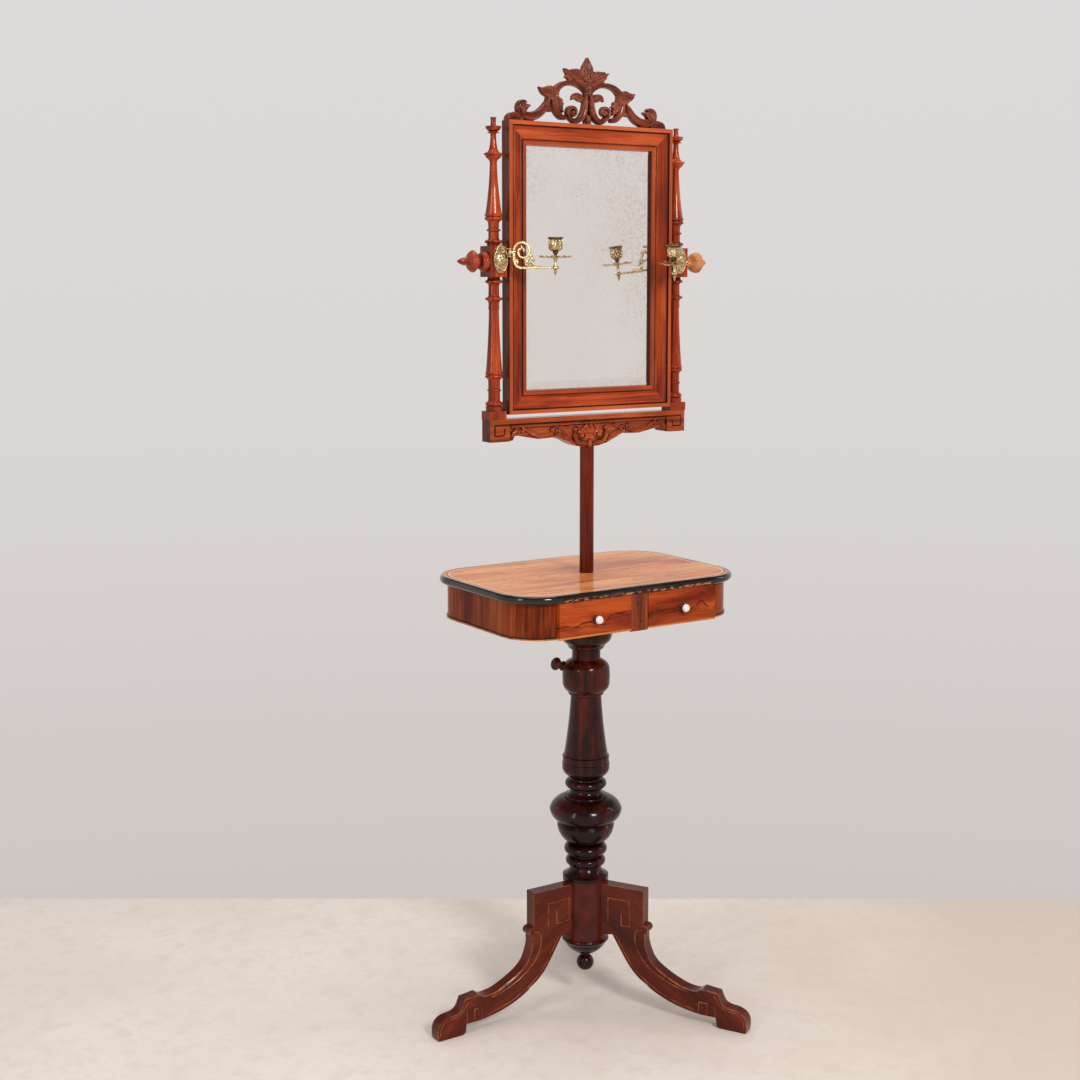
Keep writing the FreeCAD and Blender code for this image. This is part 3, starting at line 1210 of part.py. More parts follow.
def candle_cup(side):
    """An urn with a socket for the candle, on a stem that runs down through the pan and the arm."""
    foot, swell, body, lip, rim = (CUP_HEIGHT * share for share in CUP_SHARES)
    steps = [
        (foot, CUP_FOOT_RADIUS + 1, -0.5),
        (swell, CUP_BELLY_RADIUS, 1.6),
        (body, CUP_BELLY_RADIUS - 0.4, 0.7),
        (lip, CUP_RIM_RADIUS, 0.0),
        (rim, CUP_RIM_RADIUS, 0.4),
    ]
    neck_length = CUP_RISE - PAN_RISE - PAN_SHEET
    neck = rod(CUP_NECK_RADIUS, neck_length, V(0, 0, -neck_length), UP)
    socket = rod(CANDLE_RADIUS, CANDLE_DEPTH, V(0, 0, CUP_HEIGHT - CANDLE_DEPTH), UP)
    urn = turned(CUP_FOOT_RADIUS, steps).cut(socket)
    stem_length = CUP_RISE + EYE_HALF + NUT_DEPTH
    stem = rod(STEM_RADIUS, stem_length, V(0, 0, -stem_length), UP)
    base, axis = cup_place(side, CUP_RISE)
    return aimed(fused([urn, neck, stem]), base, axis)


def arm_nut(side):
    """Small turned drop that screws on the stem under the arm."""
    nut = turned(NUT_FACE_RADIUS, NUT_STEPS).cut(rod(STEM_RADIUS, NUT_DEPTH, V(0, 0, 0), UP))
    base, axis = cup_place(side, -EYE_HALF)
    return aimed(nut, base, axis * -1)


# ================================================================ all the pieces
def build():
    keep("column", column())
    for name, angle in LEG_ANGLES.items():
        keep(name, leg(angle))
    keep("pendant_finial", pendant_finial())
    keep("clamp_screw", clamp_screw())
    keep("clamp_knob", clamp_knob())
    keep("table_top", table_top())
    keep("top_moulding", top_moulding())
    keep("front_moulding", front_moulding())
    keep("apron", apron())
    keep("base_moulding", base_moulding())
    keep("bottom_board", bottom_board())
    keep("centre_stile", centre_stile())
    keep_group("drawer_partitions", partition_shapes())
    keep_group("drawer_guides", guide_shapes())
    keep_group("table_screws", table_screw_shapes())
    for side in ("left", "right"):
        drawer(side)
    keep("mast", mast())
    keep("crossbar", crossbar())
    right_post = post()
    keep("post_right", right_post)
    keep("post_left", mirrored(right_post))
    for name, member in frame_members().items():
        keep(name, member)
    keep("mirror_glass", mirror_glass())
    keep("backboard", backboard())
    keep_group("backboard_screws", backboard_screw_shapes())
    keep("crest", crest())
    for side in ("left", "right"):
        screw, knob = pivot_parts(side)
        keep(f"pivot_screw_{side}", screw)
        keep(f"pivot_knob_{side}", knob)
    plate = sconce_plate()
    keep("sconce_plate_right", plate)
    keep("sconce_plate_left", mirrored(plate))
    screws = plate_screw_shapes()
    keep_group("sconce_plate_screws", screws + [mirrored(shape) for shape in screws])
    keep_group("sconce_hinge_pins", [hinge_pin("left"), hinge_pin("right")])
    for side in ("left", "right"):
        keep(f"sconce_arm_{side}", sconce_arm(side))
        keep(f"drip_pan_{side}", drip_pan(side))
        keep(f"candle_cup_{side}", candle_cup(side))
        keep(f"arm_nut_{side}", arm_nut(side))


def main():
    build()
    os.makedirs("parts", exist_ok=True)
    for name, shape in PARTS.items():
        print(f"{name:24s} solids {len(shape.Solids)} valid {shape.isValid()} volume {shape.Volume:.0f}")
        shape.exportStep(f"parts/{name}.step")
    print(f"table {TABLE_TOP:.1f}, bar {BAR_FOOT:.1f} to {BAR_TOP:.1f}, pivot {PIVOT_Z:.1f}")


main()
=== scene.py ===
import math
from contextlib import contextmanager

import bpy
import numpy as np
from mathutils import Matrix, Vector


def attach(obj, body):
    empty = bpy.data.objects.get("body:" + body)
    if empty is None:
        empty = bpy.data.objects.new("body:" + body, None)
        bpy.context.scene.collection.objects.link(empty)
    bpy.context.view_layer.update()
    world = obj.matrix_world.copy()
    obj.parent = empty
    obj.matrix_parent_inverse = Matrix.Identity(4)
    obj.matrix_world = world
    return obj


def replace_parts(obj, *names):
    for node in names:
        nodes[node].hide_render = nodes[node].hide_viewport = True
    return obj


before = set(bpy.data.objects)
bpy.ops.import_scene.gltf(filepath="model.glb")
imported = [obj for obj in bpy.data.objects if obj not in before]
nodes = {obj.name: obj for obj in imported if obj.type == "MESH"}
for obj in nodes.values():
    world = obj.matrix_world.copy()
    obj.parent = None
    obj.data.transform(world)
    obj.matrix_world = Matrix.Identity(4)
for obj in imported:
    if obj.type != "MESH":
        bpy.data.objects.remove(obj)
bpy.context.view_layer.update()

MM = 0.001

# places for the carved and cast pieces, in millimetres
PIVOT_Z = 1388.1
FRAME_TOP = 1630.8
CREST_BACK = 6.4
BAR_BACK, BAR_LEVEL = 14.5, 1000.0
TOP_FILLET, BLOCK_EDGE = 103.6, 172.4
POST_X, POST_FACE = 196.0, -17.0
HINGE_X, HINGE_Y, HINGE_Z = 184.2, -30.4, PIVOT_Z + 15.0
ARM_REACH, ARM_DROP = 85, 26
DROP_LIFT = 4.6
LEG_HALF = 13.0

# the floor's end at the wall, in metres, and the ways to the wall and to the viewer's right
WALL_DISTANCE = 0.505
TO_WALL, TO_THE_RIGHT = (0.548, 0.836, 0.0), (0.836, -0.548, 0.0)

# places for the finishes, in metres
FRAME_HALF_WIDTH, FRAME_HALF_HEIGHT = 0.1776, 0.255
FRAME_MIDDLE = FRAME_TOP * MM - FRAME_HALF_HEIGHT
TOP_HALF_LENGTH, TOP_HALF_DEPTH, TOP_CORNER = 0.236, 0.156, 0.070
BOX_FOOT = 0.7424
DRAWER_VEIN = 0.7675
HUB_FOOT, HUB_TOP = 0.118, 0.240
NAIL_HOLES = ((-0.004, 0.790), (0.003, 0.757))


# ---------------------------------------------------------------- laying nodes
def srgb(red, green, blue):
    """A colour as a colour chart gives it, turned into the linear values that shaders take."""
    linear = []
    for value in (red, green, blue):
        share = value / 255
        linear.append(share / 12.92 if share <= 0.04045 else ((share + 0.055) / 1.055) ** 2.4)
    return (*linear, 1.0)


def fill(node, inputs):
    """Sets inputs of a node. Each is a plain value or the output that feeds it."""
    for key, value in inputs.items():
        if isinstance(value, bpy.types.NodeSocket):
            node.id_data.links.new(value, node.inputs[key])
        else:
            node.inputs[key].default_value = value
    return node


def put(tree, kind, inputs=None, **settings):
    """Adds a node to a tree."""
    node = tree.nodes.new(kind)
    for key, value in settings.items():
        setattr(node, key, value)
    return fill(node, inputs or {})


def tree_of(*values):
    """The tree that the first output among some values belongs to."""
    return next(value.id_data for value in values if isinstance(value, bpy.types.NodeSocket))


def maths(operation, first, second=0.0, clamp=False):
    tree = tree_of(first, second)
    return put(tree, "ShaderNodeMath", {0: first, 1: second}, operation=operation, use_clamp=clamp).outputs[0]


def times(first, second, clamp=False):
    return maths("MULTIPLY", first, second, clamp)


def plus(first, second, clamp=False):
    return maths("ADD", first, second, clamp)


def minus(first, second):
    return maths("SUBTRACT", first, second)


def size_of(value):
    return maths("ABSOLUTE", value)


def split(vector):
    """The three parts of a vector."""
    return put(vector.id_data, "ShaderNodeSeparateXYZ", {0: vector}).outputs


def distance_along(vector, way):
    """How far a place lies along a direction."""
    inputs = {0: vector, 1: way}
    return put(vector.id_data, "ShaderNodeVectorMath", inputs, operation="DOT_PRODUCT").outputs["Value"]


def blend(share, first, second):
    """Mixes two colours."""
    inputs = {0: share, 6: first, 7: second}
    return put(tree_of(share, first), "ShaderNodeMix", inputs, data_type="RGBA").outputs[2]


def tint(colour, share, amount, tone):
    """Lays a tone over a colour, by a share that is kept under an amount."""
    return blend(times(share, amount), colour, srgb(*tone))


def span(value, low, high, to_low=0.0, to_high=1.0, smooth=False):
    """Maps a value from one span to another and keeps it inside."""
    kind = "SMOOTHSTEP" if smooth else "LINEAR"
    inputs = {0: value, 1: low, 2: high, 3: to_low, 4: to_high}
    return put(value.id_data, "ShaderNodeMapRange", inputs, interpolation_type=kind).outputs[0]


def cloud(vector, scale, detail=3.0, roughness=0.55, distortion=0.0):
    inputs = {"Vector": vector, "Scale": scale, "Detail": detail, "Roughness": roughness}
    inputs["Distortion"] = distortion
    return put(vector.id_data, "ShaderNodeTexNoise", inputs).outputs[0]


def shelter(tree, distance):
    """Goes from one in the open to zero deep in a hollow."""
    inputs = {"Distance": distance}
    return put(tree, "ShaderNodeAmbientOcclusion", inputs, samples=8, only_local=True).outputs["AO"]


def stretch(vector, scale, turn=(0, 0, 0), shift=(0, 0, 0)):
    inputs = {"Vector": vector, "Location": shift, "Rotation": turn, "Scale": scale}
    return put(vector.id_data, "ShaderNodeMapping", inputs).outputs[0]


def new_group(name, inputs, outputs):
    """A shader group with named sockets. Returns the group, its inputs' values and its output node."""
    group = bpy.data.node_groups.new(name, "ShaderNodeTree")
    for label, kind, value in inputs:
        socket = group.interface.new_socket(label, in_out="INPUT", socket_type="NodeSocket" + kind)
        if value is not None:
            socket.default_value = value
    for label, kind in outputs:
        group.interface.new_socket(label, in_out="OUTPUT", socket_type="NodeSocket" + kind)
    given, result = group.nodes.new("NodeGroupInput"), group.nodes.new("NodeGroupOutput")
    return group, given.outputs, result


# ---------------------------------------------------------------- shared effects
def make_grain_group():
    """Wood whose grain runs along Z of the vector: streaks, broad figure, fine fibres and pores."""
    group, given, result = new_group("wood_grain", [
        ("Vector", "Vector", None),
        ("Streaks", "Float", 60.0),
        ("Figure", "Float", 0.5),
        ("Wave", "Float", 0.3),
        ("Pores", "Float", 0.5),
        ("Dark", "Color", srgb(60, 25, 15)),
        ("Middle", "Color", srgb(120, 55, 30)),
        ("Light", "Color", srgb(170, 90, 50)),
    ], [("Color", "Color"), ("Tone", "Float"), ("Height", "Float")])
    vector = given["Vector"]
    bend = cloud(stretch(vector, (1, 1, 0.35)), 7.0, 2.0)
    bend = times(minus(bend, 0.5), times(given["Wave"], 0.06))
    offset = put(group, "ShaderNodeCombineXYZ", {0: bend, 1: bend, 2: 0.0}).outputs[0]
    bent = put(group, "ShaderNodeVectorMath", {0: vector, 1: offset}, operation="ADD").outputs[0]
    drawn = stretch(bent, (1, 1, 0.045))
    streak = cloud(drawn, given["Streaks"], 4.0, 0.6, 0.2)
    fibre = cloud(stretch(bent, (1, 1, 0.02)), 520.0, 2.0)
    broad = cloud(stretch(bent, (1, 1, 0.3)), 11.0, 3.0, 0.55, 0.8)
    tone = plus(times(streak, 0.62), times(fibre, 0.38))
    figure = times(minus(broad, 0.5), times(given["Figure"], 1.6))
    tone = span(plus(tone, figure), 0.3, 0.7)
    lower = span(tone, 0.0, 0.5)
    upper = span(tone, 0.5, 1.0)
    colour = blend(lower, given["Dark"], given["Middle"])
    colour = blend(upper, colour, given["Light"])
    dots = cloud(stretch(bent, (1, 1, 0.05)), 1100.0, 1.0)
    pores = span(dots, 0.36, 0.28, smooth=True)
    pores = times(pores, given["Pores"], clamp=True)
    colour = blend(times(pores, 0.75), colour, (0.008, 0.004, 0.003, 1))
    height = minus(times(fibre, 0.3), pores)
    fill(result, {"Color": colour, "Tone": tone, "Height": height})
    return group


def make_age_and_shade_group():
    """Years of use and painted shade: hollows darkened partly by old polish and partly by painted shade, pale
    rubbed spots, small dents and a polish that isn't even.
    """
    group, given, result = new_group("years_of_use_and_hollow_shade", [
        ("Vector", "Vector", None),
        ("Color", "Color", srgb(120, 60, 30)),
        ("Wax_and_shade", "Color", srgb(22, 11, 7)),
        ("Wax amount", "Float", 0.7),
        ("Wax reach", "Float", 0.008),
        ("Rubbed", "Color", srgb(190, 120, 75)),
        ("Rubbed amount", "Float", 0.3),
        ("Polish", "Float", 0.22),
        ("Unevenness", "Float", 0.18),
    ], [("Color", "Color"), ("Roughness", "Float"), ("Height", "Float"), ("Hollow", "Float")])
    vector = given["Vector"]
    # painted shade: occlusion darkens the hollows, standing for shade there as well as old polish
    hollow = span(shelter(group, given["Wax reach"]), 0.92, 0.35, smooth=True)
    patchy = cloud(vector, 38.0, 3.0)
    wax_and_shade = times(hollow, plus(times(patchy, 0.6), 0.62), clamp=True)
    colour = blend(times(wax_and_shade, given["Wax amount"]), given["Color"], given["Wax_and_shade"])
    rub = span(cloud(vector, 21.0, 6.0, 0.7), 0.64, 0.74, smooth=True)
    rub = times(rub, given["Rubbed amount"])
    rub = times(rub, minus(1.0, wax_and_shade))
    colour = blend(rub, colour, given["Rubbed"])
    smear = cloud(vector, 14.0, 5.0, 0.65)
    rough = plus(given["Polish"], times(minus(smear, 0.45), given["Unevenness"]))
    rough = plus(rough, times(wax_and_shade, 0.25), clamp=True)
    dents = span(cloud(vector, 95.0, 2.0), 0.3, 0.42, -1.0, 0.0)
    fill(result, {"Color": colour, "Roughness": rough, "Height": dents, "Hollow": wax_and_shade})
    return group


GRAIN = make_grain_group()
AGE_AND_SHADE = make_age_and_shade_group()


# ---------------------------------------------------------------- finishes
def start_finish(name):
    """A new material with its main shader and the object's own coordinates."""
    material = bpy.data.materials.new(name)
    material.use_nodes = True
    tree = material.node_tree
    tree.nodes.clear()
    end = put(tree, "ShaderNodeOutputMaterial")
    skin = put(tree, "ShaderNodeBsdfPrincipled")
    fill(end, {"Surface": skin.outputs[0]})
    return material, skin, put(tree, "ShaderNodeTexCoord").outputs["Object"]


def add_bump(skin, height, strength, depth=0.001):
    inputs = {"Strength": strength, "Distance": depth, "Height": height}
    fill(skin, {"Normal": put(skin.id_data, "ShaderNodeBump", inputs).outputs[0]})


def paint_side_shade(colour, amount, tone, start=0.8):
    """Painted shade: a darker tone on the faces that look sideways, told from the object's own normals."""
    way = split(put(colour.id_data, "ShaderNodeTexCoord").outputs["Normal"])[0]
    return tint(colour, span(size_of(way), start, 0.98, smooth=True), amount, tone)


ALONG = {"Z": (0, 0, 0), "X": (0, math.radians(90), 0), "Y": (math.radians(90), 0, 0)}


def wood(name, tones, along="Z", streaks=60.0, figure=0.5, wave=0.3, pores=0.5, polish=0.22,
         coat=0.5, coat_polish=0.1, wax_and_shade=0.7, wax_and_shade_reach=0.008, rubbed=None, rubbed_amount=0.3,
         shift=(0, 0, 0), dent=0.12, shine=0.12, extra=None):
    """A waxed or varnished wood. Tones are its dark, middle and light colours. Its hollows get painted shade,
    mixed with darker old polish.
    """
    material, skin, place = start_finish(name)
    turn = ALONG[along] if isinstance(along, str) else along
    vector = stretch(place, (1, 1, 1), turn, shift)
    grain = put(material.node_tree, "ShaderNodeGroup", {
        "Vector": vector, "Streaks": streaks, "Figure": figure, "Wave": wave, "Pores": pores,
        "Dark": srgb(*tones[0]), "Middle": srgb(*tones[1]), "Light": srgb(*tones[2]),
    }, node_tree=GRAIN)
    colour = grain.outputs["Color"]
    if extra:
        colour = extra(place, colour)
    # the age group lays painted shade in the hollows, mixed with old polish
    age = put(material.node_tree, "ShaderNodeGroup", {
        "Vector": place, "Color": colour, "Wax amount": wax_and_shade, "Wax reach": wax_and_shade_reach,
        "Rubbed": srgb(*(rubbed or tones[2])), "Rubbed amount": rubbed_amount, "Polish": polish,
    }, node_tree=AGE_AND_SHADE)
    fill(skin, {"Base Color": age.outputs["Color"], "Roughness": age.outputs["Roughness"],
                "Specular IOR Level": shine, "Coat Weight": coat, "Coat Roughness": coat_polish})
    height = plus(grain.outputs["Height"], times(age.outputs["Height"], 2.0))
    add_bump(skin, height, dent, 0.0006)
    return material


# ---------------------------------------------------------------- making meshes
def mesh_piece(name, points, faces, material, smooth=True):
    """A piece from points in metres. Its object sits at the origin."""
    mesh = bpy.data.meshes.new(name)
    mesh.from_pydata([tuple(point) for point in points], [], faces)
    mesh.validate()
    mesh.materials.append(material)
    if smooth:
        mesh.polygons.foreach_set("use_smooth", [True] * len(mesh.polygons))
    piece = bpy.data.objects.new(name, mesh)
    bpy.context.scene.collection.objects.link(piece)
    return piece


def soften(piece, angle):
    """Smooth shading that keeps edges sharper than the angle."""
    mesh = piece.data
    mesh.polygons.foreach_set("use_smooth", [True] * len(mesh.polygons))
    mesh.set_sharp_from_angle(angle=math.radians(angle))
    return piece


def join(name, parts, material):
    """Several lists of points and faces as one piece."""
    points, faces = [], []
    for part_points, part_faces in parts:
        start = len(points)
        points.extend(part_points)
        faces.extend([tuple(start + index for index in face) for face in part_faces])
    return mesh_piece(name, points, faces, material)


def curve_through(points, share=8):
    """Smooth rows through given rows, by Catmull-Rom. A row may carry more than a place."""
    rows = np.array(points, float)
    padded = np.vstack([2 * rows[0] - rows[1], rows, 2 * rows[-1] - rows[-2]])
    made = []
    for index in range(len(rows) - 1):
        a, b, c, d = padded[index:index + 4]
        for step in range(share):
            t = step / share
            made.append(0.5 * (2 * b + (c - a) * t + (2 * a - 5 * b + 4 * c - d) * t * t
                               + (3 * b - a - 3 * c + d) * t ** 3))
    made.append(rows[-1])
    return np.array(made)


def spiral(x, z, start_radius, end_radius, start_angle, turns, count=60, widths=(5, 2)):
    """Rows of place and half width along a spiral. Angles in degrees, turns may be negative."""
    rows = []
    for index in range(count + 1):
        share = index / count
        radius = start_radius + (end_radius - start_radius) * share ** 0.85
        angle = math.radians(start_angle + 360 * turns * share)
        width = widths[0] + (widths[1] - widths[0]) * share
        rows.append((x + radius * math.cos(angle), z + radius * math.sin(angle), width))
    return rows


def smooth_step(value, low, high):
    share = np.clip((value - low) / (high - low), 0, 1)
    return share * share * (3 - 2 * share)


def bell(value, middle, width):
    return np.exp(-((value - middle) / width) ** 2)


def bulge(share):
    """A round back: one at the middle, zero where the share is one and beyond."""
    return np.sqrt(np.clip(1 - share ** 2, 0, 1))


def around(x, z, radius, degrees, tall=None):
    """A place on a circle, or on an oval that is as tall as is said."""
    turn = math.radians(degrees)
    return x + radius * math.cos(turn), z + (tall or radius) * math.sin(turn)


class Carving:
    """A carved face worked out on a fine grid, in millimetres: how far each point lies inside the
    outline, and how high the carving stands above the back."""

    def __init__(self, west, east, foot, top, step):
        columns = int(round((east - west) / step)) + 1
        rows = int(round((top - foot) / step)) + 1
        self.step = step
        self.x, self.z = np.meshgrid(np.linspace(west, east, columns), np.linspace(foot, top, rows))
        self.inside = np.full(self.x.shape, -1e3)
        self.height = np.zeros(self.x.shape)

    def near(self, path):
        """Distance to a path, share along it, side of it and half width there."""
        path = np.array(path, float)
        ends = path[:, :2]
        lengths = np.hypot(*(ends[1:] - ends[:-1]).T)
        reach = np.concatenate([[0], np.cumsum(lengths)]) / max(lengths.sum(), 1e-9)
        widths = path[:, 2] if path.shape[1] > 2 else np.zeros(len(path))
        best = np.full(self.x.shape, 1e9)
        share = np.zeros(self.x.shape)
        side = np.ones(self.x.shape)
        width = np.zeros(self.x.shape)
        for index in range(len(ends) - 1):
            (ax, az), (bx, bz) = ends[index], ends[index + 1]
            dx, dz = bx - ax, bz - az
            length = dx * dx + dz * dz
            if length < 1e-12:
                continue
            t = np.clip(((self.x - ax) * dx + (self.z - az) * dz) / length, 0, 1)
            ox, oz = self.x - (ax + t * dx), self.z - (az + t * dz)
            away = ox * ox + oz * oz
            closer = away < best
            best = np.where(closer, away, best)
            share = np.where(closer, reach[index] + (reach[index + 1] - reach[index]) * t, share)
            side = np.where(closer, np.sign(dx * oz - dz * ox), side)
            width = np.where(closer, widths[index] + (widths[index + 1] - widths[index]) * t, width)
        return np.sqrt(best), share, side, width

    def within(self, polygon):
        """How far inside a closed outline each point lies."""
        polygon = np.array(polygon, float)[:, :2]
        closed = np.vstack([polygon, polygon[:1]])
        away = self.near(closed)[0]
        odd = np.zeros(self.x.shape, bool)
        for (ax, az), (bx, bz) in zip(closed[:-1], closed[1:]):
            if az == bz:
                continue
            crosses = (az > self.z) != (bz > self.z)
            odd ^= crosses & (self.x < (bx - ax) * (self.z - az) / (bz - az) + ax)
        return np.where(odd, away, -away)

    @contextmanager
    def same_outline(self):
        """Forms that are added meanwhile leave the outline as it is."""
        outline = self.inside.copy()
        yield
        self.inside = outline

    def lift(self, where, height):
        """Raises part of the face to a height at least."""
        self.height = np.where(where, np.maximum(self.height, height), self.height)

    def field(self, polygon, height):
        """Joins a flat ground with a drawn outline."""
        self.add(self.within(polygon), height)

    def add(self, inside, height, shoulder=1.2):
        """Joins a form. Where forms meet, the higher one shows."""
        eased = smooth_step(inside, -0.2, shoulder)
        height = np.where(inside > -0.2, height * (0.55 + 0.45 * eased), 0)
        self.height = np.maximum(self.height, height)
        self.inside = np.maximum(self.inside, inside)

    def band(self, path, base, bead=1.6, hollow=1.4, outline=True):
        """A ribbon with a round bead along both edges and a hollow between them."""
        away, _, _, width = self.near(path)
        across = np.clip(away / np.maximum(width, 0.01), 0, 1)
        small = np.clip(width / 5, 0.25, 1)
        height = base + small * (bead * bell(across, 0.78, 0.17) - hollow * bell(across, 0, 0.42))
        if outline:
            self.add(width - away, height)
        else:
            self.lift(width > away, height)

    def roll(self, path, base, rise):
        """A plain rounded stem."""
        away, _, _, width = self.near(path)
        across = np.clip(away / np.maximum(width, 0.01), 0, 1)
        self.add(width - away, base + rise * np.sqrt(1 - across ** 2 * 0.96) - rise * 0.3, 0.8)

    def leaf(self, path, base, rise=2.4, lobes=5, lobe_depth=0.16, veins=1.0, curl=1.2):
        """An acanthus leaf: a lobed edge, a midrib in a groove, veins and a cupped blade."""
        away, share, _, width = self.near(path)
        scallop = np.abs(np.sin(np.pi * share * lobes)) ** 0.6
        reach = width * (1 - lobe_depth + lobe_depth * scallop * 1.6)
        across = np.clip(away / np.maximum(reach, 0.01), 0, 1)
        sweep = np.sin(2 * np.pi * (share * lobes - 0.42 * across - 0.25))
        blade = rise * (1 - 0.55 * across ** 2) + curl * smooth_step(across, 0.72, 1.0)
        blade = blade + veins * 0.55 * sweep * smooth_step(across, 0.12, 0.4)
        rib = 1.1 * bell(away, 0, 0.9) - 1.2 * bell(away, 2.0, 1.0)
        fade = np.clip(width / 6, 0.3, 1)
        self.add(reach - away, base + fade * (blade + rib))

    def dome(self, x, z, radius, base, rise, outline=True):
        away = np.hypot(self.x - x, self.z - z)
        height = base + rise * bulge(away / radius)
        if outline:
            self.add(radius - away, height)
        else:
            self.lift(away < radius, height)

    def cut(self, path, half_width, depth, floor=0.0):
        """A gouged line of round section."""
        away = self.near(path)[0]
        across = np.clip(away / half_width, 0, 1)
        self.height = np.maximum(self.height - depth * (1 - across ** 2) ** 0.5 * (across < 1), floor)

    def shell(self, back=0.0, both_sides=False, mirror=False):
        """Points (across, up, height) and faces of the carved solid."""
        inside, x, z, height = self.inside, self.x.copy(), self.z.copy(), self.height
        kept = (inside[:-1, :-1] + inside[1:, :-1] + inside[:-1, 1:] + inside[1:, 1:]) > 0
        rows, columns = inside.shape
        touched = np.zeros((rows, columns), int)
        for down in (0, 1):
            for along in (0, 1):
                touched[down:rows - 1 + down, along:columns - 1 + along] += kept
        edge = (touched > 0) & (touched < 4)
        slope_z, slope_x = np.gradient(inside, self.step)
        steep = np.maximum(slope_x ** 2 + slope_z ** 2, 0.25)
        move = np.clip(inside, -self.step, self.step) / steep
        x = np.where(edge, x - move * slope_x * 0.9, x)
        z = np.where(edge, z - move * slope_z * 0.9, z)
        index = -np.ones((rows, columns), int)
        used = touched > 0
        index[used] = np.arange(used.sum())
        count = int(used.sum())
        px, pz, ph = x[used], z[used], height[used]
        if mirror:
            px = -px
        low = -ph if both_sides else np.full(count, back)
        points = np.concatenate([np.stack([px, pz, ph], 1), np.stack([px, pz, low], 1)])
        ii, jj = np.nonzero(kept)
        a, b = index[ii, jj], index[ii, jj + 1]
        c, d = index[ii + 1, jj + 1], index[ii + 1, jj]
        front = np.stack([a, b, c, d], 1)
        rear = np.stack([a, d, c, b], 1) + count
        walls = []
        padded = np.pad(kept, 1)
        for (di, dj), (first, second) in {(-1, 0): (a, b), (1, 0): (c, d), (0, -1): (d, a),
                                          (0, 1): (b, c)}.items():
            open_side = ~padded[ii + 1 + di, jj + 1 + dj]
            f, s = first[open_side], second[open_side]
            walls.append(np.stack([s, f, f + count, s + count], 1))
        faces = np.concatenate([front, rear] + walls)
        if mirror:
            faces = faces[:, ::-1]
        return points, faces


def lay(shell, origin, across, up, outward):
    """Places a carved shell in space: origin in millimetres, the rest directions."""
    points, faces = shell
    axes = np.array([list(across), list(up), list(outward)], float)
    placed = (np.array(list(origin), float) + points @ axes) * MM
    return placed.tolist(), faces.tolist()


def edge_line(place, half_x, half_y, corner):
    """Distance inwards from the edge of a board with rounded corners, from Object coordinates."""
    parts = split(place)
    over_x = minus(size_of(parts[0]), half_x - corner)
    over_y = minus(size_of(parts[1]), half_y - corner)
    out_x, out_y = maths("MAXIMUM", over_x, 0.0), maths("MAXIMUM", over_y, 0.0)
    square = plus(times(out_x, out_x), times(out_y, out_y))
    beyond = maths("SQRT", square)
    within = maths("MINIMUM", maths("MAXIMUM", over_x, over_y), 0.0)
    return minus(corner, plus(beyond, within))


def stripe(value, middle, half, soft):
    """One inside a stripe of a value, fading over a soft edge."""
    away = size_of(minus(value, middle))
    return span(away, half + soft, half, smooth=True)


def top_edge_highlight_and_veins(place, colour):
    """A painted highlight along the arris, drawn as a pale line round the edge of the top, a dark line at the
    very edge, and streaks of darker heartwood.
    """
    inset = edge_line(place, TOP_HALF_LENGTH, TOP_HALF_DEPTH, TOP_CORNER)
    dark = stripe(inset, 0.0004, 0.0006, 0.0003)
    # painted highlight: a pale line along the arris of the top
    pale = stripe(inset, 0.0030, 0.0011, 0.0003)
    vein = cloud(stretch(place, (0.5, 3.2, 1), (0, 0, math.radians(7))), 13.0, 4.0, 0.6, 1.2)
    vein = stripe(vein, 0.47, 0.006, 0.03)
    colour = tint(colour, vein, 0.5, (112, 62, 40))
    cloudy = span(cloud(stretch(place, (0.6, 2.0, 1)), 9.0, 3.0), 0.35, 0.65)
    colour = tint(colour, cloudy, 0.35, (222, 160, 105))
    colour = blend(pale, colour, srgb(236, 205, 160))
    return blend(dark, colour, srgb(45, 28, 20))


def frame_moulding_painted_light(place, colour):
    """Painted light of the frame's moulding, from its outer edge inwards: painted highlights on the flat band
    and the bead, painted shade in the quirk and the sunk line, the rim's own red, and painted shade deep in
    the rebate.
    """
    parts = split(place)
    from_side = minus(FRAME_HALF_WIDTH, size_of(parts[0]))
    from_rail = minus(FRAME_HALF_HEIGHT, size_of(minus(parts[2], FRAME_MIDDLE)))
    inset = maths("MINIMUM", from_side, from_rail)
    flat = span(inset, 0.0072, 0.0062, smooth=True)
    quirk_shade = stripe(inset, 0.0084, 0.0010, 0.0008)
    line = stripe(inset, 0.0317, 0.0007, 0.0005)
    bead = stripe(inset, 0.0366, 0.0030, 0.0010)
    rim = span(inset, 0.0398, 0.0404, smooth=True)
    # painted highlights on the flat band and the bead
    colour = tint(colour, flat, 0.45, (196, 100, 56))
    colour = tint(colour, bead, 0.35, (190, 88, 46))
    # painted shade in the quirk and in the sunk line
    colour = tint(colour, quirk_shade, 0.85, (24, 10, 8))
    colour = tint(colour, line, 0.85, (30, 8, 6))
    colour = blend(rim, colour, srgb(168, 66, 26))
    # painted shade deep in the rebate behind the rim
    deep = span(parts[1], -0.0066, -0.0052, smooth=True)
    return tint(colour, rim, times(deep, 0.9), (12, 7, 6))


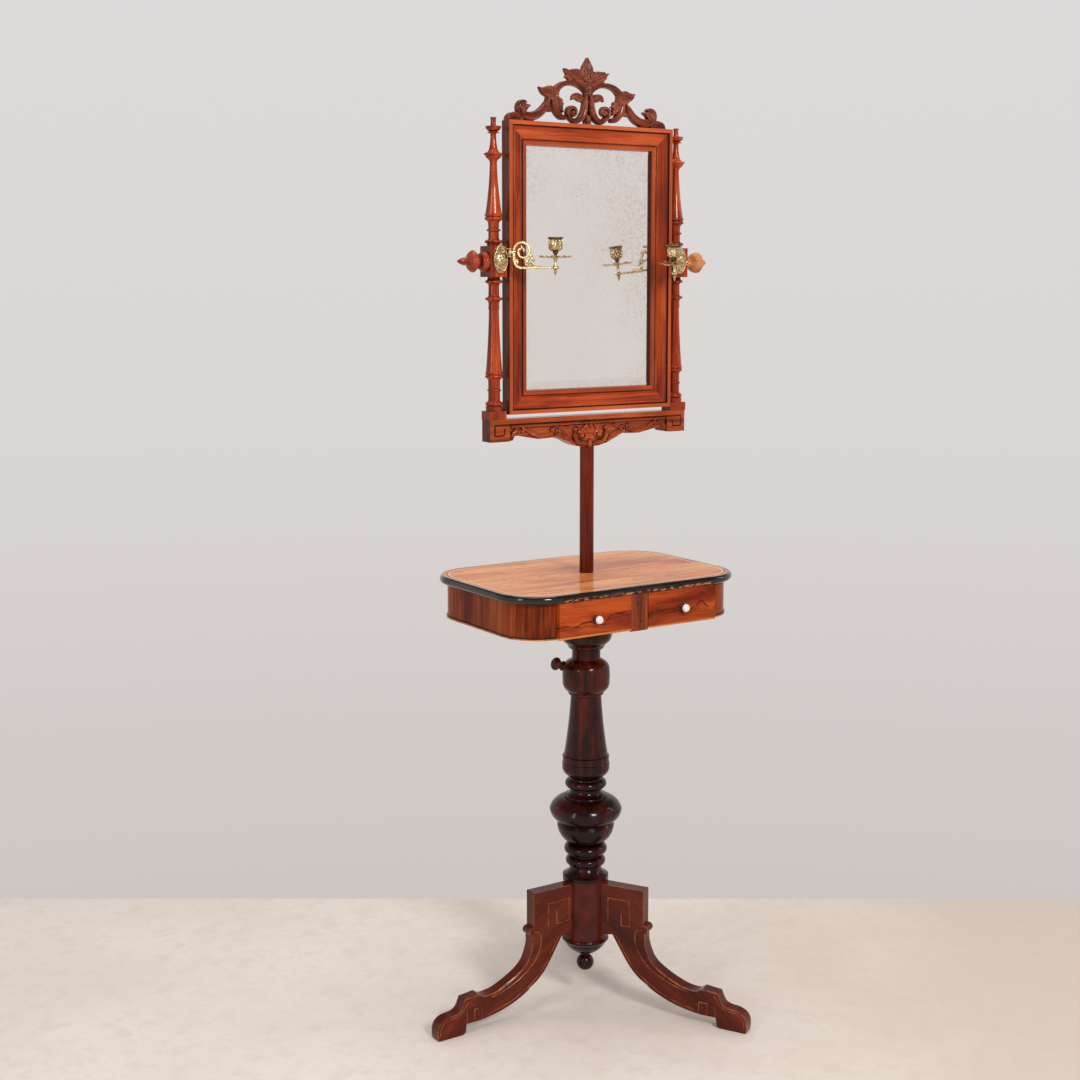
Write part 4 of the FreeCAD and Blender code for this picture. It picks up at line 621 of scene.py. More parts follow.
def drawer_figure(place, colour):
    """A dark wandering vein at the middle of a drawer front, browner wood below it and a second dark line
    beneath.
    """
    parts = split(place)
    wander = cloud(stretch(place, (1, 1, 0.3)), 17.0, 4.0, 0.5, 0.5)
    level = plus(DRAWER_VEIN, times(minus(wander, 0.5), 0.055))
    above = minus(parts[2], level)
    vein = stripe(above, 0.0, 0.0005, 0.0026)
    broken = span(cloud(place, 45.0, 2.0), 0.32, 0.55)
    below = span(above, 0.001, -0.004, smooth=True)
    colour = tint(colour, below, 0.2, (122, 54, 24))
    colour = tint(colour, times(vein, broken), 0.8, (44, 16, 9))
    second = stripe(above, -0.0062, 0.0003, 0.0014)
    return tint(colour, second, 0.5, (50, 24, 16))


# painted shade on the faces that look sideways
def painted_side_shade(amount, tone, start=0.8):
    return lambda place, colour: paint_side_shade(colour, amount, tone, start)


# the frame's painted moulding light, then painted shade on the stiles' sideways faces
def stile_moulding_light_and_side_shade(place, colour):
    return paint_side_shade(frame_moulding_painted_light(place, colour), 0.75, (58, 20, 9))


def hub_tone(place, colour):
    """The column's hub and foot are a lighter red than its turned part."""
    height = split(place)[2]
    share = span(cloud(place, 30.0, 3.0), 0.3, 0.7, 0.14, 0.5)
    share = times(share, span(height, HUB_TOP, HUB_TOP - 0.004, smooth=True))
    share = times(share, span(height, HUB_FOOT, HUB_FOOT + 0.012, smooth=True))
    return blend(share, colour, srgb(122, 40, 20))


def worn_lines(heading):
    """Pale bottoms of the lines cut in a leg, told by their depth from the leg's faces."""
    turn = math.radians(heading)
    side = (math.sin(turn), -math.cos(turn), 0.0)

    def paint(place, colour):
        deep = distance_along(place, side)
        deep = size_of(deep)
        share = times(span(deep, 0.0127, 0.0121, smooth=True), span(deep, 0.0106, 0.0112, smooth=True))
        share = times(share, span(cloud(place, 55.0, 3.0), 0.36, 0.66, 0.12, 0.72))
        return blend(share, colour, srgb(196, 116, 68))
    return paint


def pale_foot(place, colour):
    """The bead round the foot of the box is black above and pale on its lowest edge."""
    height = split(place)[2]
    low = span(height, BOX_FOOT + 0.0026, BOX_FOOT + 0.0020, smooth=True)
    worn = span(cloud(place, 70.0, 4.0), 0.34, 0.5, 0.35, 1.0)
    return tint(colour, low, worn, (204, 128, 68))


def worn_edges(place, colour):
    """Pale chips where a thin black strip has lost its corner."""
    parts = split(place)
    low = span(parts[2], 0.8150, 0.8105, smooth=True)
    chips = cloud(stretch(place, (1, 1, 2.2)), 120.0, 4.0, 0.6)
    chips = span(chips, 0.5, 0.56, smooth=True)
    return tint(colour, chips, low, (196, 128, 88))


def nail_marks(place, colour):
    """Two filled nail holes on the upright between the drawers."""
    parts = split(place)
    for x, z in NAIL_HOLES:
        dx = minus(parts[0], x)
        dz = minus(parts[2], z)
        away = maths("SQRT", plus(times(dx, dx), times(dz, dz)))
        colour = blend(span(away, 0.0022, 0.0014, smooth=True), colour, srgb(24, 12, 9))
    return colour


def make_brass(name, light, dark, polish=0.24):
    """Cast brass: bright where hands rub it, brown in its hollows."""
    material, skin, place = start_finish(name)
    hollow = span(shelter(material.node_tree, 0.0032), 0.95, 0.54, smooth=True)
    cloudy = span(cloud(place, 70.0, 5.0, 0.6), 0.38, 0.68)
    fine = cloud(place, 900.0, 3.0)
    pits = span(cloud(place, 560.0, 2.0), 0.5, 0.4, smooth=True)
    colour = blend(times(cloudy, 0.4), srgb(*light), srgb(164, 126, 72))
    colour = tint(colour, pits, 0.55, (88, 66, 38))
    colour = tint(colour, hollow, 0.93, dark)
    rough = plus(plus(polish, times(cloudy, 0.14)), times(hollow, 0.35), clamp=True)
    fill(skin, {"Base Color": colour, "Roughness": rough, "Metallic": 1.0})
    add_bump(skin, plus(fine, times(cloudy, 2.0)), 0.12, 0.0004)
    return material


def make_mirror_finish():
    """An old silvered plate: slightly warm, with fine spots where the silver has gone."""
    material, skin, place = start_finish("old_silvered_plate")
    parts = split(place)
    veil = cloud(place, 6.0, 3.0)
    right = span(parts[0], -0.05, 0.12)
    upper = span(parts[2], 1.42, 1.58)
    aged = maths("MAXIMUM", right, upper)
    aged = times(aged, span(veil, 0.35, 0.6))
    spots = put(material.node_tree, "ShaderNodeTexVoronoi", {"Vector": place, "Scale": 330.0})
    size = cloud(place, 60.0, 2.0)
    dots = span(minus(spots.outputs["Distance"], times(size, 0.42)), 0.03, -0.05, smooth=True)
    dots = times(dots, plus(times(aged, 0.8), 0.05))
    edge_x = span(size_of(parts[0]), 0.118, 0.139)
    edge_z = span(size_of(minus(parts[2], FRAME_MIDDLE)), 0.196, 0.2165)
    rim = times(maths("MAXIMUM", edge_x, edge_z), span(cloud(place, 90.0, 4.0), 0.45, 0.6))
    colour = blend(veil, srgb(253, 249, 245), srgb(246, 240, 234))
    mottle = span(cloud(place, 170.0, 5.0, 0.6), 0.44, 0.66, smooth=True)
    colour = tint(colour, mottle, times(aged, 0.4), (206, 192, 172))
    colour = blend(dots, colour, srgb(158, 142, 126))
    colour = tint(colour, rim, 0.12, (150, 134, 120))
    rough = plus(plus(0.025, times(dots, 0.45)), times(aged, 0.05))
    fill(skin, {"Base Color": colour, "Roughness": rough, "Metallic": 1.0})
    add_bump(skin, cloud(place, 9.0, 1.0), 0.03, 0.001)
    return material


def make_porcelain():
    material, skin, place = start_finish("white_porcelain")
    craze = cloud(place, 260.0, 4.0, 0.6)
    colour = blend(span(craze, 0.42, 0.7), srgb(240, 238, 234), srgb(222, 218, 210))
    fill(skin, {"Base Color": colour, "Roughness": span(craze, 0.3, 0.7, 0.08, 0.16),
                "Coat Weight": 0.8, "Coat Roughness": 0.04})
    add_bump(skin, cloud(place, 80.0, 1.0), 0.05, 0.0005)
    return material


def make_steel():
    material, skin, place = start_finish("dull_steel")
    rust = span(cloud(place, 420.0, 5.0, 0.6), 0.45, 0.62)
    colour = blend(rust, srgb(150, 146, 140), srgb(98, 72, 54))
    fill(skin, {"Base Color": colour, "Roughness": span(rust, 0.0, 1.0, 0.32, 0.7), "Metallic": 0.9})
    add_bump(skin, rust, 0.2, 0.0002)
    return material


FINISH = {
    "column": wood("black_walnut_column", ((16, 4, 3), (42, 12, 8), (92, 30, 16)), streaks=70, figure=0.6,
                   pores=0.3, polish=0.24, coat=0.34, coat_polish=0.1, wax_and_shade=0.85, wax_and_shade_reach=0.006,
                   rubbed=(128, 48, 26), rubbed_amount=0.4, shine=0.06, extra=hub_tone),
    "mast": wood("red_walnut_mast", ((46, 9, 4), (86, 22, 8), (126, 42, 15)), streaks=80, figure=0.5,
                 polish=0.18, coat=0.25, wax_and_shade=0.6, rubbed_amount=0.2, shine=0.05),
    # the posts get painted shade on their sideways faces
    "post": wood("polished_red_walnut", ((88, 18, 3), (160, 52, 13), (204, 90, 30)), streaks=80, figure=0.5,
                 polish=0.12, coat=0.5, coat_polish=0.045, wax_and_shade=0.97, wax_and_shade_reach=0.01, rubbed_amount=0.25,
                 shine=0.04, extra=painted_side_shade(0.6, (70, 20, 7), 0.7)),
    # the crossbar gets painted shade on its sideways faces
    "bar": wood("carved_red_walnut", ((96, 30, 9), (168, 72, 31), (206, 106, 52)), along="X", streaks=80,
                figure=0.4, polish=0.2, coat=0.22, coat_polish=0.1, wax_and_shade=0.98, wax_and_shade_reach=0.01,
                rubbed=(236, 150, 90), rubbed_amount=0.45, shift=(0.2, 0.1, 0),
                extra=painted_side_shade(0.8, (40, 16, 8), 0.9)),
    # the stiles get painted moulding light and painted shade on their sideways faces
    "stile": wood("dark_stiles_painted_side_shade", ((72, 20, 5), (144, 50, 17), (192, 84, 33)), streaks=70, figure=0.5,
                  polish=0.18, coat=0.3, wax_and_shade=0.85, shine=0.05, extra=stile_moulding_light_and_side_shade, shift=(0.1, 0, 0.3)),
    # the rails get the moulding's painted highlights and shade
    "rail": wood("red_frame_rails", ((104, 28, 6), (170, 62, 20), (208, 92, 40)), along="X", streaks=70,
                 figure=0.5, polish=0.17, coat=0.35, wax_and_shade=0.85, extra=frame_moulding_painted_light, shift=(0, 0.3, 0.1)),
    "crest": wood("dull_carved_walnut", ((60, 22, 11), (122, 55, 32), (166, 86, 58)), along="X", streaks=60,
                  figure=0.3, polish=0.25, coat=0.4, coat_polish=0.14, wax_and_shade=0.97, wax_and_shade_reach=0.008,
                  rubbed=(196, 120, 88), rubbed_amount=0.35, shift=(0.3, 0, 0)),
    "red_knob": wood("turned_red_knob", ((96, 26, 12), (156, 58, 30), (196, 92, 54)), along="X", polish=0.18,
                     coat=0.3),
    "pale_knob": wood("turned_pale_knob", ((158, 92, 52), (204, 136, 86), (226, 166, 112)), along="X",
                      figure=0.3, polish=0.3, coat=0.12, wax_and_shade=0.6, pores=0.3),
    "top": wood("honey_walnut_top", ((166, 82, 36), (216, 126, 66), (240, 164, 96)), along="X", streaks=46,
                figure=0.7, wave=0.5, pores=0.4, polish=0.13, coat=0.16, coat_polish=0.05, wax_and_shade=0.3,
                rubbed_amount=0.15, dent=0.06, shine=0.02, extra=top_edge_highlight_and_veins),
    "black": wood("ebonised_moulding", ((8, 7, 7), (20, 17, 17), (38, 33, 32)), along="X", figure=0.2,
                  polish=0.16, coat=0.8, wax_and_shade=0.3, rubbed=(84, 70, 60), rubbed_amount=0.4),
    "black_front": wood("worn_front_strip", ((8, 7, 7), (24, 20, 18), (46, 38, 34)), along="X", figure=0.2,
                        polish=0.22, coat=0.3, wax_and_shade=0.3, rubbed=(150, 96, 66), rubbed_amount=0.5,
                        extra=worn_edges),
    "foot_bead": wood("bead_at_the_foot", ((8, 7, 7), (22, 18, 17), (40, 33, 30)), along="X", figure=0.2,
                      polish=0.2, coat=0.3, wax_and_shade=0.2, extra=pale_foot),
    "backboard": wood("plain_backboard", ((96, 62, 38), (136, 94, 62), (164, 120, 84)), along="Z", streaks=40,
                      figure=0.4, pores=0.3, polish=0.6, coat=0.0, wax_and_shade=0.6),
    "box": wood("box_veneer", ((80, 26, 7), (136, 56, 20), (172, 86, 36)), streaks=90, figure=0.5,
                polish=0.18, coat=0.16, wax_and_shade=0.5, wax_and_shade_reach=0.01, rubbed_amount=0.2, shine=0.04),
    "upright": wood("box_upright", ((92, 34, 10), (146, 62, 24), (176, 88, 42)), streaks=90, figure=0.4,
                    polish=0.2, coat=0.3, wax_and_shade=0.5, extra=nail_marks),
    "drawer": wood("drawer_veneer", ((112, 32, 7), (156, 57, 17), (190, 82, 30)), along="X", streaks=44,
                   figure=0.9, wave=1.1, pores=0.5, polish=0.15, coat=0.2, coat_polish=0.06, wax_and_shade=0.4,
                   rubbed_amount=0.2, shine=0.04, extra=drawer_figure),
    "lip": wood("pale_box_lip", ((160, 84, 36), (210, 124, 60), (232, 156, 92)), along="X", figure=0.3,
                polish=0.3, coat=0.2, wax_and_shade=0.4),
    "inside": wood("drawer_lining", ((134, 88, 58), (184, 134, 98), (208, 164, 128)), along="X", streaks=50,
                   figure=0.4, pores=0.2, polish=0.6, coat=0.0, wax_and_shade=0.5),
    "brass": make_brass("worn_brass", (232, 209, 162), (24, 16, 9)),
    "dark_brass": make_brass("tarnished_brass", (104, 92, 68), (26, 18, 12), 0.34),
    "steel": make_steel(),
    "mirror": make_mirror_finish(),
    "porcelain": make_porcelain(),
    "stem": wood("dark_knob_stem", ((20, 10, 8), (44, 22, 16), (70, 38, 26)), along="Y", polish=0.25,
                 coat=0.3),
}
LEG_HEADINGS = {"leg_left": 180.0, "leg_front": -60.0, "leg_back": 60.0}


def leg_finish(heading):
    """Leg wood with its grain out and down along the leg."""
    turn = Matrix.Rotation(math.radians(58), 3, "Y") @ Matrix.Rotation(math.radians(-heading), 3, "Z")
    return wood(f"leg_walnut_{int(heading) % 360}", ((50, 12, 4), (84, 25, 8), (118, 43, 17)),
                along=tuple(turn.to_euler()), streaks=34, figure=0.2, wave=0.9, polish=0.2, coat=0.2,
                wax_and_shade=0.35, wax_and_shade_reach=0.004, rubbed=(164, 76, 38), rubbed_amount=0.5,
                shift=(heading / 300, 0, 0.2), extra=worn_lines(heading))


LEG_FINISH = {name: leg_finish(heading) for name, heading in LEG_HEADINGS.items()}
NODE_FINISH = {
    "column": "column", "pendant_finial": "column", "clamp_screw": "column", "clamp_knob": "column",
    "mast": "mast", "crossbar": "bar", "post_left": "post", "post_right": "post",
    "frame_left": "stile", "frame_right": "stile", "frame_top": "rail", "frame_bottom": "rail",
    "crest": "crest", "mirror_glass": "mirror", "backboard": "backboard", "backboard_screws": "steel",
    "pivot_knob_left": "red_knob", "pivot_knob_right": "pale_knob", "pivot_screw_left": "steel",
    "pivot_screw_right": "steel", "table_top": "top", "top_moulding": "black",
    "front_moulding": "black_front", "apron": "box", "base_moulding": "foot_bead", "bottom_board": "lip",
    "centre_stile": "upright", "table_screws": "steel", "drawer_partitions": "inside",
    "drawer_guides": "inside",
}
for name, node in nodes.items():
    if name in LEG_FINISH:
        finish = LEG_FINISH[name]
    elif name in NODE_FINISH:
        finish = FINISH[NODE_FINISH[name]]
    elif name.startswith("drawer_"):
        ending = name.split("_", 2)[2]
        finish = FINISH[{"front": "drawer", "knob_cap": "porcelain", "knob_stem": "stem"}.get(ending,
            "inside")]
    else:
        finish = FINISH["brass"]
    for slot in node.material_slots:
        slot.material = finish


# ---------------------------------------------------------------- carved crest
FRONT_WAY = ((1, 0, 0), (0, 0, 1), (0, -1, 0))


def crest_half(side):
    """The scrolls, leaves and sweep of one side, drawn for the right. The two sides differ a little,
    as hand work does."""
    eye_x, eye_z, eye_radius = (36.0, 24.4, 12.6) if side > 0 else (33.5, 21.0, 14.4)
    work = Carving(-6.0, 178.0, -0.6, 79.0, 0.72)
    base = 9.0
    work.field([(70, 20), (90, 19), (93, 26), (90, 42), (84, 48), (70, 46)], base - 3.2)
    work.field([(-6, -0.6), (9, -0.6), (7, 12), (10, 36), (8, 54), (4, 60), (-6, 60)], base - 2.8)
    leaves = (
        # outside the big scroll
        ([(74, 50, 12.0), (84, 53.5, 11.5), (93, 55.0, 7.5), (99, 57.5, 4.2), (104.4, 61.5, 0.5)], -1.2, 2.6,
         2, 0.10, 0.4),
        # curling back inside the ring from its inner side
        ([(12, 44, 5.0), (18, 47.6, 7.0), (25, 49.6, 6.2), (31, 47.6, 4.2), (34.0, 43.4, 1.0)], -2.2, 2.4, 1,
         0.04, 0.4),
        # low in the ring, pointing to the volute
        ([(66, 42, 7.5), (62.5, 36, 8.5), (60, 30, 6.5), (57.5, 26, 4.4), (54, 21, 2.0)], -1.6, 2.4, 3, 0.18,
         0.4),
        ([(63, 36, 5.0), (58, 35.8, 3.6), (51.2, 34.6, 0.5)], -1.2, 1.8, 2, 0.1, 1.0),
        # in the hook of the sweep
        ([(139, 16, 5.5), (137.5, 22, 6.5), (132, 26, 5.2), (127, 27.6, 3.2), (122.2, 28.4, 0.6)], 0, 2.4, 3,
         0.18, 0.4),
        # bud at the end
        ([(146, 4.5, 9.0), (154, 6.4, 9.4), (163, 6.0, 8.2), (170, 3.6, 4.6), (174.0, 0.6, 0.8)], -1.4, 2.8,
         2, 0.05, 0.4),
    )
    for points, lift, rise, lobes, depth, veins in leaves:
        work.leaf(curve_through(points), base + lift, rise, lobes, depth, veins)
    # ribbon over the top of the ring and down its outer side
    work.band(curve_through([
        (2.0, 55.0, 4.2), (10, 63.0, 4.6), (19, 68.6, 4.7), (30, 71.6, 4.6), (42, 71.8, 4.6), (53, 69.4, 4.8),
        (62, 64.6, 5.4), (69, 57.2, 6.4), (73, 48.0, 6.8), (73.6, 38.0, 6.6), (71.6, 28.0, 6.2),
        (67, 19.4, 5.8), (60, 12.6, 5.2), (51.5, 10.6, 4.0),
    ]), base + 0.6, 1.7, 1.6)
    # ribbon down the inner side, round the foot and up into the volute
    turn = spiral(eye_x, eye_z, eye_radius - 1.6, 2.0, -76, 1.42, 70, (3.9, 2.2))
    inner = curve_through([
        (5.0, 62.0, 3.0), (5.6, 54.0, 3.6), (6.2, 44.0, 4.2), (7.6, 34.0, 4.8), (9.2, 24.0, 5.6),
        (13.4, 14.6, 5.8), (21.0, 8.2, 5.2), (30.0, 7.2 if side > 0 else 5.6, 4.6), tuple(turn[0]),
    ])
    work.band(list(inner) + turn[1:], base + 1.2, 1.7, 1.4)
    work.dome(eye_x, eye_z, 3.8, base + 1.2, 2.2)
    # sweep beside the ring, ending in a hook
    work.band(curve_through([
        (84.5, 41.5, 2.0), (88.5, 34.0, 4.6), (93.5, 26.5, 6.0), (100.5, 19.0, 7.0), (109.5, 13.2, 7.6),
        (119.5, 10.2, 7.8), (129.5, 10.0, 7.6), (138.0, 12.4, 7.2), (144.0, 17.4, 6.8), (146.0, 24.0, 6.2),
        (143.0, 30.4, 5.6), (136.4, 33.2, 4.6), (130.4, 33.4, 1.2),
    ]), base + 0.8, 1.6, 1.9)
    work.field([(108, -0.6), (172, -0.6), (172, 2.2), (112, 2.6)], base - 2.4)
    work.inside = np.minimum(work.inside, work.z + 0.3)
    return lay(work.shell(0.0 if side > 0 else 0.2, mirror=side < 0), (0, CREST_BACK, FRAME_TOP), *FRONT_WAY)


def crest_spray():
    """The three-part leaf spray with its rosette."""
    work = Carving(-56.0, 50.0, 50.0, 120.6, 0.66)
    base = 9.6
    right = [(0, 52), (9, 62), (20, 70), (36, 74.4), (35.6, 79), (42, 84), (40.4, 88.6), (46.2, 94.0),
             (38, 92.6), (33, 95.8), (28.5, 94.2), (23.5, 96.6), (18, 95.2), (11, 95.6)]
    left = [(-13, 97.6), (-18, 96.8), (-25, 98.4), (-30, 95.6), (-36, 96.2), (-43, 94.0), (-52, 96.8),
            (-50, 90.4), (-46.4, 86.0), (-50, 81.6), (-44.6, 79.0), (-41, 74.6), (-22, 70), (-9, 62)]
    work.field(right + [(0, 98)], base - 1.6)
    work.field([(0, 98)] + left + [(0, 52)], base - 1.6)
    tall = [(-13.5, 94), (-13.2, 100.6), (-9.4, 106.6), (-5.0, 113.0), (-1.6, 119.0), (0.8, 114),
            (3.6, 106.0), (7.8, 105.0), (9.2, 96.4), (9.2, 90), (-13.5, 90)]
    work.field(tall, base - 0.6)
    blades = (
        ([(6, 78, 9), (18, 82.5, 11.5), (30, 87.6, 9.0), (39, 91.6, 4.5), (46, 94, 0.8)], 2.4, 4),
        ([(-8, 78, 9), (-20, 84.0, 12), (-33, 89.4, 9.6), (-43, 93.4, 4.6), (-52, 96.6, 0.8)], 2.4, 4),
        ([(-1, 88, 10), (-1, 97, 10.5), (-1.2, 107, 7.0), (-1.4, 114, 3.4), (-1.6, 118.4, 0.6)], 2.8, 4),
        ([(-2, 54, 3), (-6, 62, 6.0), (-14, 70, 7.0), (-22, 76, 4), (-27, 80, 1)], 2.2, 3),
        ([(2, 54, 3), (6, 62, 6.0), (14, 70, 7.0), (21, 76, 4), (26, 80, 1)], 2.2, 3),
        ([(0, 53, 3), (0, 60, 5.0), (0, 67, 5.5), (0, 73, 3.5)], 3.0, 3),
    )
    x, z = -1, 84.2
    with work.same_outline():
        for points, rise, lobes in blades:
            work.leaf(curve_through(points), base - 0.8, rise, lobes, 0.05, 0.55, 0.8)
        for angle in range(30, 390, 60):
            petal = [(x, z, 3.0), around(x, z, 7.6, angle) + (5.4,), around(x, z, 12.6, angle, 12.0) + (1.6,)]
            work.leaf(curve_through(petal), base + 1.6, 2.4, 1, 0.0, 0.6, 1.6)
    work.dome(x, z, 4.9, base + 2.6, 2.4, outline=False)
    work.height -= 3.6 * bulge(np.hypot(work.x - x, work.z - z) / 2.3)
    return lay(work.shell(0.4), (0, CREST_BACK, FRAME_TOP), *FRONT_WAY)


def crest_foot_leaf():
    """Small upright leaf between the two scrolls."""
    work = Carving(-9.0, 8.0, 1.0, 24.0, 0.6)
    work.leaf([(-1, 2, 5.2), (-1.4, 9, 5.8), (-2.4, 15, 3.8), (-3.4, 19.6, 0.6)], 10.2, 2.8, 2, 0.08)
    return lay(work.shell(4.0), (0, CREST_BACK, FRAME_TOP), *FRONT_WAY)


crest_pieces = []
for name, shell in (("crest_scrolls_right", crest_half(1)), ("crest_scrolls_left", crest_half(-1)),
                    ("crest_spray", crest_spray()), ("crest_foot_leaf", crest_foot_leaf())):
    crest_piece = soften(mesh_piece(name, *shell, FINISH["crest"]), 50)
    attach(crest_piece, "mirror")
    crest_pieces.append(crest_piece)
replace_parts(crest_pieces[0], "crest")


# ---------------------------------------------------------------- carved crossbar
def crossbar_carving():
    """Fillets along the top, sunk lines on the end blocks, ribbons and scrolls between them."""
    half = [(10, 54.5), (21, 55.4), (32, 58.0), (43, 62.8), (53, 68.0), (63, 71.6), (75, 76.5), (79, 75),
            (92, 74.5), (112, 74), (154, 82), (163, 81.5), (168, 74.5), (178, 73), (215, 73), (215, 112.8)]
    outline = half + [(-x, z) for x, z in reversed(half)]
    work = Carving(-215.0, 215.0, 54.4, 112.8, 0.86)
    work.inside = work.within(outline)
    x, z = np.abs(work.x), work.z
    ground = 23.2 + bell(z, 90, 8)
    # a low fillet, a groove and the top fillet, which runs on over the end blocks
    level = ground
    for foot, height in ((96.6, 28.0), (99.6, 27.0), (TOP_FILLET, 29.0)):
        level = np.where(z > foot, height, level)
    block = smooth_step(x, BLOCK_EDGE, BLOCK_EDGE + 1.0)
    work.height = level * (1 - block) + np.where(z > TOP_FILLET, 29.0, 28.6) * block

    def turned(points, side):
        return [(side * x, *rest) for x, *rest in points]

    def edge_roll(path, hollow, above):
        """A round lip along a path, with a broad hollow on the upper side of it."""
        away, share, side_of, width = work.near(path)
        fade = np.sin(math.pi * np.clip(share, 0.02, 0.98)) ** 0.35
        upper = (side_of * above) > 0
        scoop = 25.6 - hollow * fade * bell(away, 5.2, 2.8)
        bowl = 23.4 + (scoop - 23.4) * np.clip(1 - (away - 7.6) / 3.4, 0, 1)
        work.lift(upper & (away < 11) & (share > 0.01) & (share < 0.99), bowl)
        work.lift(away < width, 26.2 + 2.6 * bulge(away / np.maximum(width, 0.1)))

    def flare(side):
        start = spiral(154.8 * side, 92.6, 4.4, 1.4, 55 if side > 0 else 125, -0.9 * side, 24, (2.4, 1.6))
        path = list(curve_through(turned([(171.6, 73.2, 3.4), (169.6, 80.0, 4.0), (165.6, 87.0, 4.0),
                                          (160.6, 92.4, 3.4)], side)))
        work.band(path + start, 26.4, 1.5, 1.6, outline=False)

    def garland(side):
        outer = spiral(147.6 * side, 90.6, 4.4, 1.2, 100 if side > 0 else 80, 0.9 * side, 24, (2.6, 1.6))
        inner = spiral(84.4 * side, 88.0, 5.6, 1.6, -70 if side > 0 else 250, -1.05 * side, 30, (2.9, 1.9))
        middle = curve_through([
            tuple(outer[0]), (side * 139.0, 91.6, 2.8), (side * 129.5, 85.4, 2.9), (side * 119, 80.6, 3.0),
            (side * 108, 78.4, 3.1), (side * 97.5, 79.2, 3.1), tuple(inner[0]),
        ])
        edge_roll(list(middle), 1.6, 1 if side < 0 else -1)
        for part in (outer, inner):
            work.roll(part, 26.0, 2.8)
        work.dome(147.6 * side, 90.6, 1.9, 26.8, 1.5, outline=False)
        work.dome(84.4 * side, 88.0, 2.4, 27.0, 1.8, outline=False)

    def arch(side):
        curl = spiral(69.4 * side, 85.0, 5.0, 1.4, 10 if side > 0 else 170, 0.95 * side, 26, (3.2, 1.8))
        path = curve_through(turned([(76.0, 82.4, 2.2), (72.6, 79.6, 3.4), (66.6, 78.6, 4.4),
                                     (58.6, 76.0, 5.2), (50.6, 71.0, 5.2), (43.0, 65.6, 4.4),
                                     (36.0, 61.4, 3.0)], side))
        work.band(list(path), 26.4, 1.8, 1.9, outline=False)
        work.roll(curl, 26.0, 2.8)
        work.dome(69.4 * side, 85.0, 1.9, 27.0, 1.6, outline=False)
        work.leaf(curve_through(turned([(60, 86.0, 1.6), (56.4, 90.2, 3.4), (50.6, 92.4, 3.2),
                                        (45.0, 91.6, 0.8)], side)),
                  25.2, 2.4, 2, 0.1, 0.4)

    def volute(side):
        ring = [around(19.6, 77.0, 14.8, 34 - 6 * step) + (2.6 + 1.6 * math.sin(math.pi * step / 22),)
                for step in range(23)]
        work.band(turned(ring + [(11.4, 61.0, 3.2), (5.6, 58.2, 2.4)], side), 26.8, 1.8, 1.7, outline=False)
        work.dome(34.2 * side, 87.4, 4.4, 26.8, 3.0, outline=False)
        work.dome(19.4 * side, 78.0, 10.2, 24.6, 4.0, outline=False)
        work.roll(turned([(17.0, 86.0, 3.4), (11.6, 91.6, 3.4), (8.6, 96.4, 1.6)], side), 25.8, 2.6)
        groove = [around(19.4, 77.4, 6.0, angle, 6.4) for angle in range(-188, 22, 10)]
        work.cut(turned(groove, side), 1.5, 3.0, 22.0)
        work.leaf(curve_through(turned([(27, 90, 1.6), (29, 93.6, 2.6), (26, 96.2, 0.8)], side)), 25.2, 2.2,
                  1, 0.0, 0.3)

    with work.same_outline():
        for form in (flare, garland, arch, volute):
            form(1)
            form(-1)
        work.leaf([(-1.5, 55.6, 4.6), (-1.5, 60.5, 5.2), (-1.0, 65.6, 3.2), (-0.4, 69.6, 0.8)], 27.2, 2.2, 1,
                  0.0, 0.4)
        work.leaf([(0.4, 97.0, 2.2), (0.4, 93.4, 3.0), (0.0, 89.6, 2.0), (0.0, 86.6, 0.8)], 26.0, 2.4, 1,
                  0.0, 0.3)
    for side in (1, -1):
        for path in ([(0, 102.8), (206, 102.8), (206, 83.6), (187, 83.6), (185.4, 95)],
                     [(172.6, 102.4), (172.8, 73)]):
            work.cut(turned(path, side), 1.3, 2.4)
    work.height -= 1.0 * (1 - smooth_step(work.inside, 0.0, 1.3))
    return lay(work.shell(0.0), (0, BAR_BACK, BAR_LEVEL), *FRONT_WAY)


crossbar = soften(mesh_piece("carved_crossbar", *crossbar_carving(), FINISH["bar"]), 45)
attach(crossbar, "mirror_stand")
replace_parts(crossbar, "crossbar")


# ---------------------------------------------------------------- cast brass
def outward(points, faces):
    """Turns the faces of a closed form so that they look out."""
    volume = 0.0
    for face in faces:
        a = points[face[0]]
        for second, third in zip(face[1:-1], face[2:]):
            volume += float(np.dot(a, np.cross(points[second], points[third])))
    return faces if volume > 0 else [tuple(reversed(face)) for face in faces]


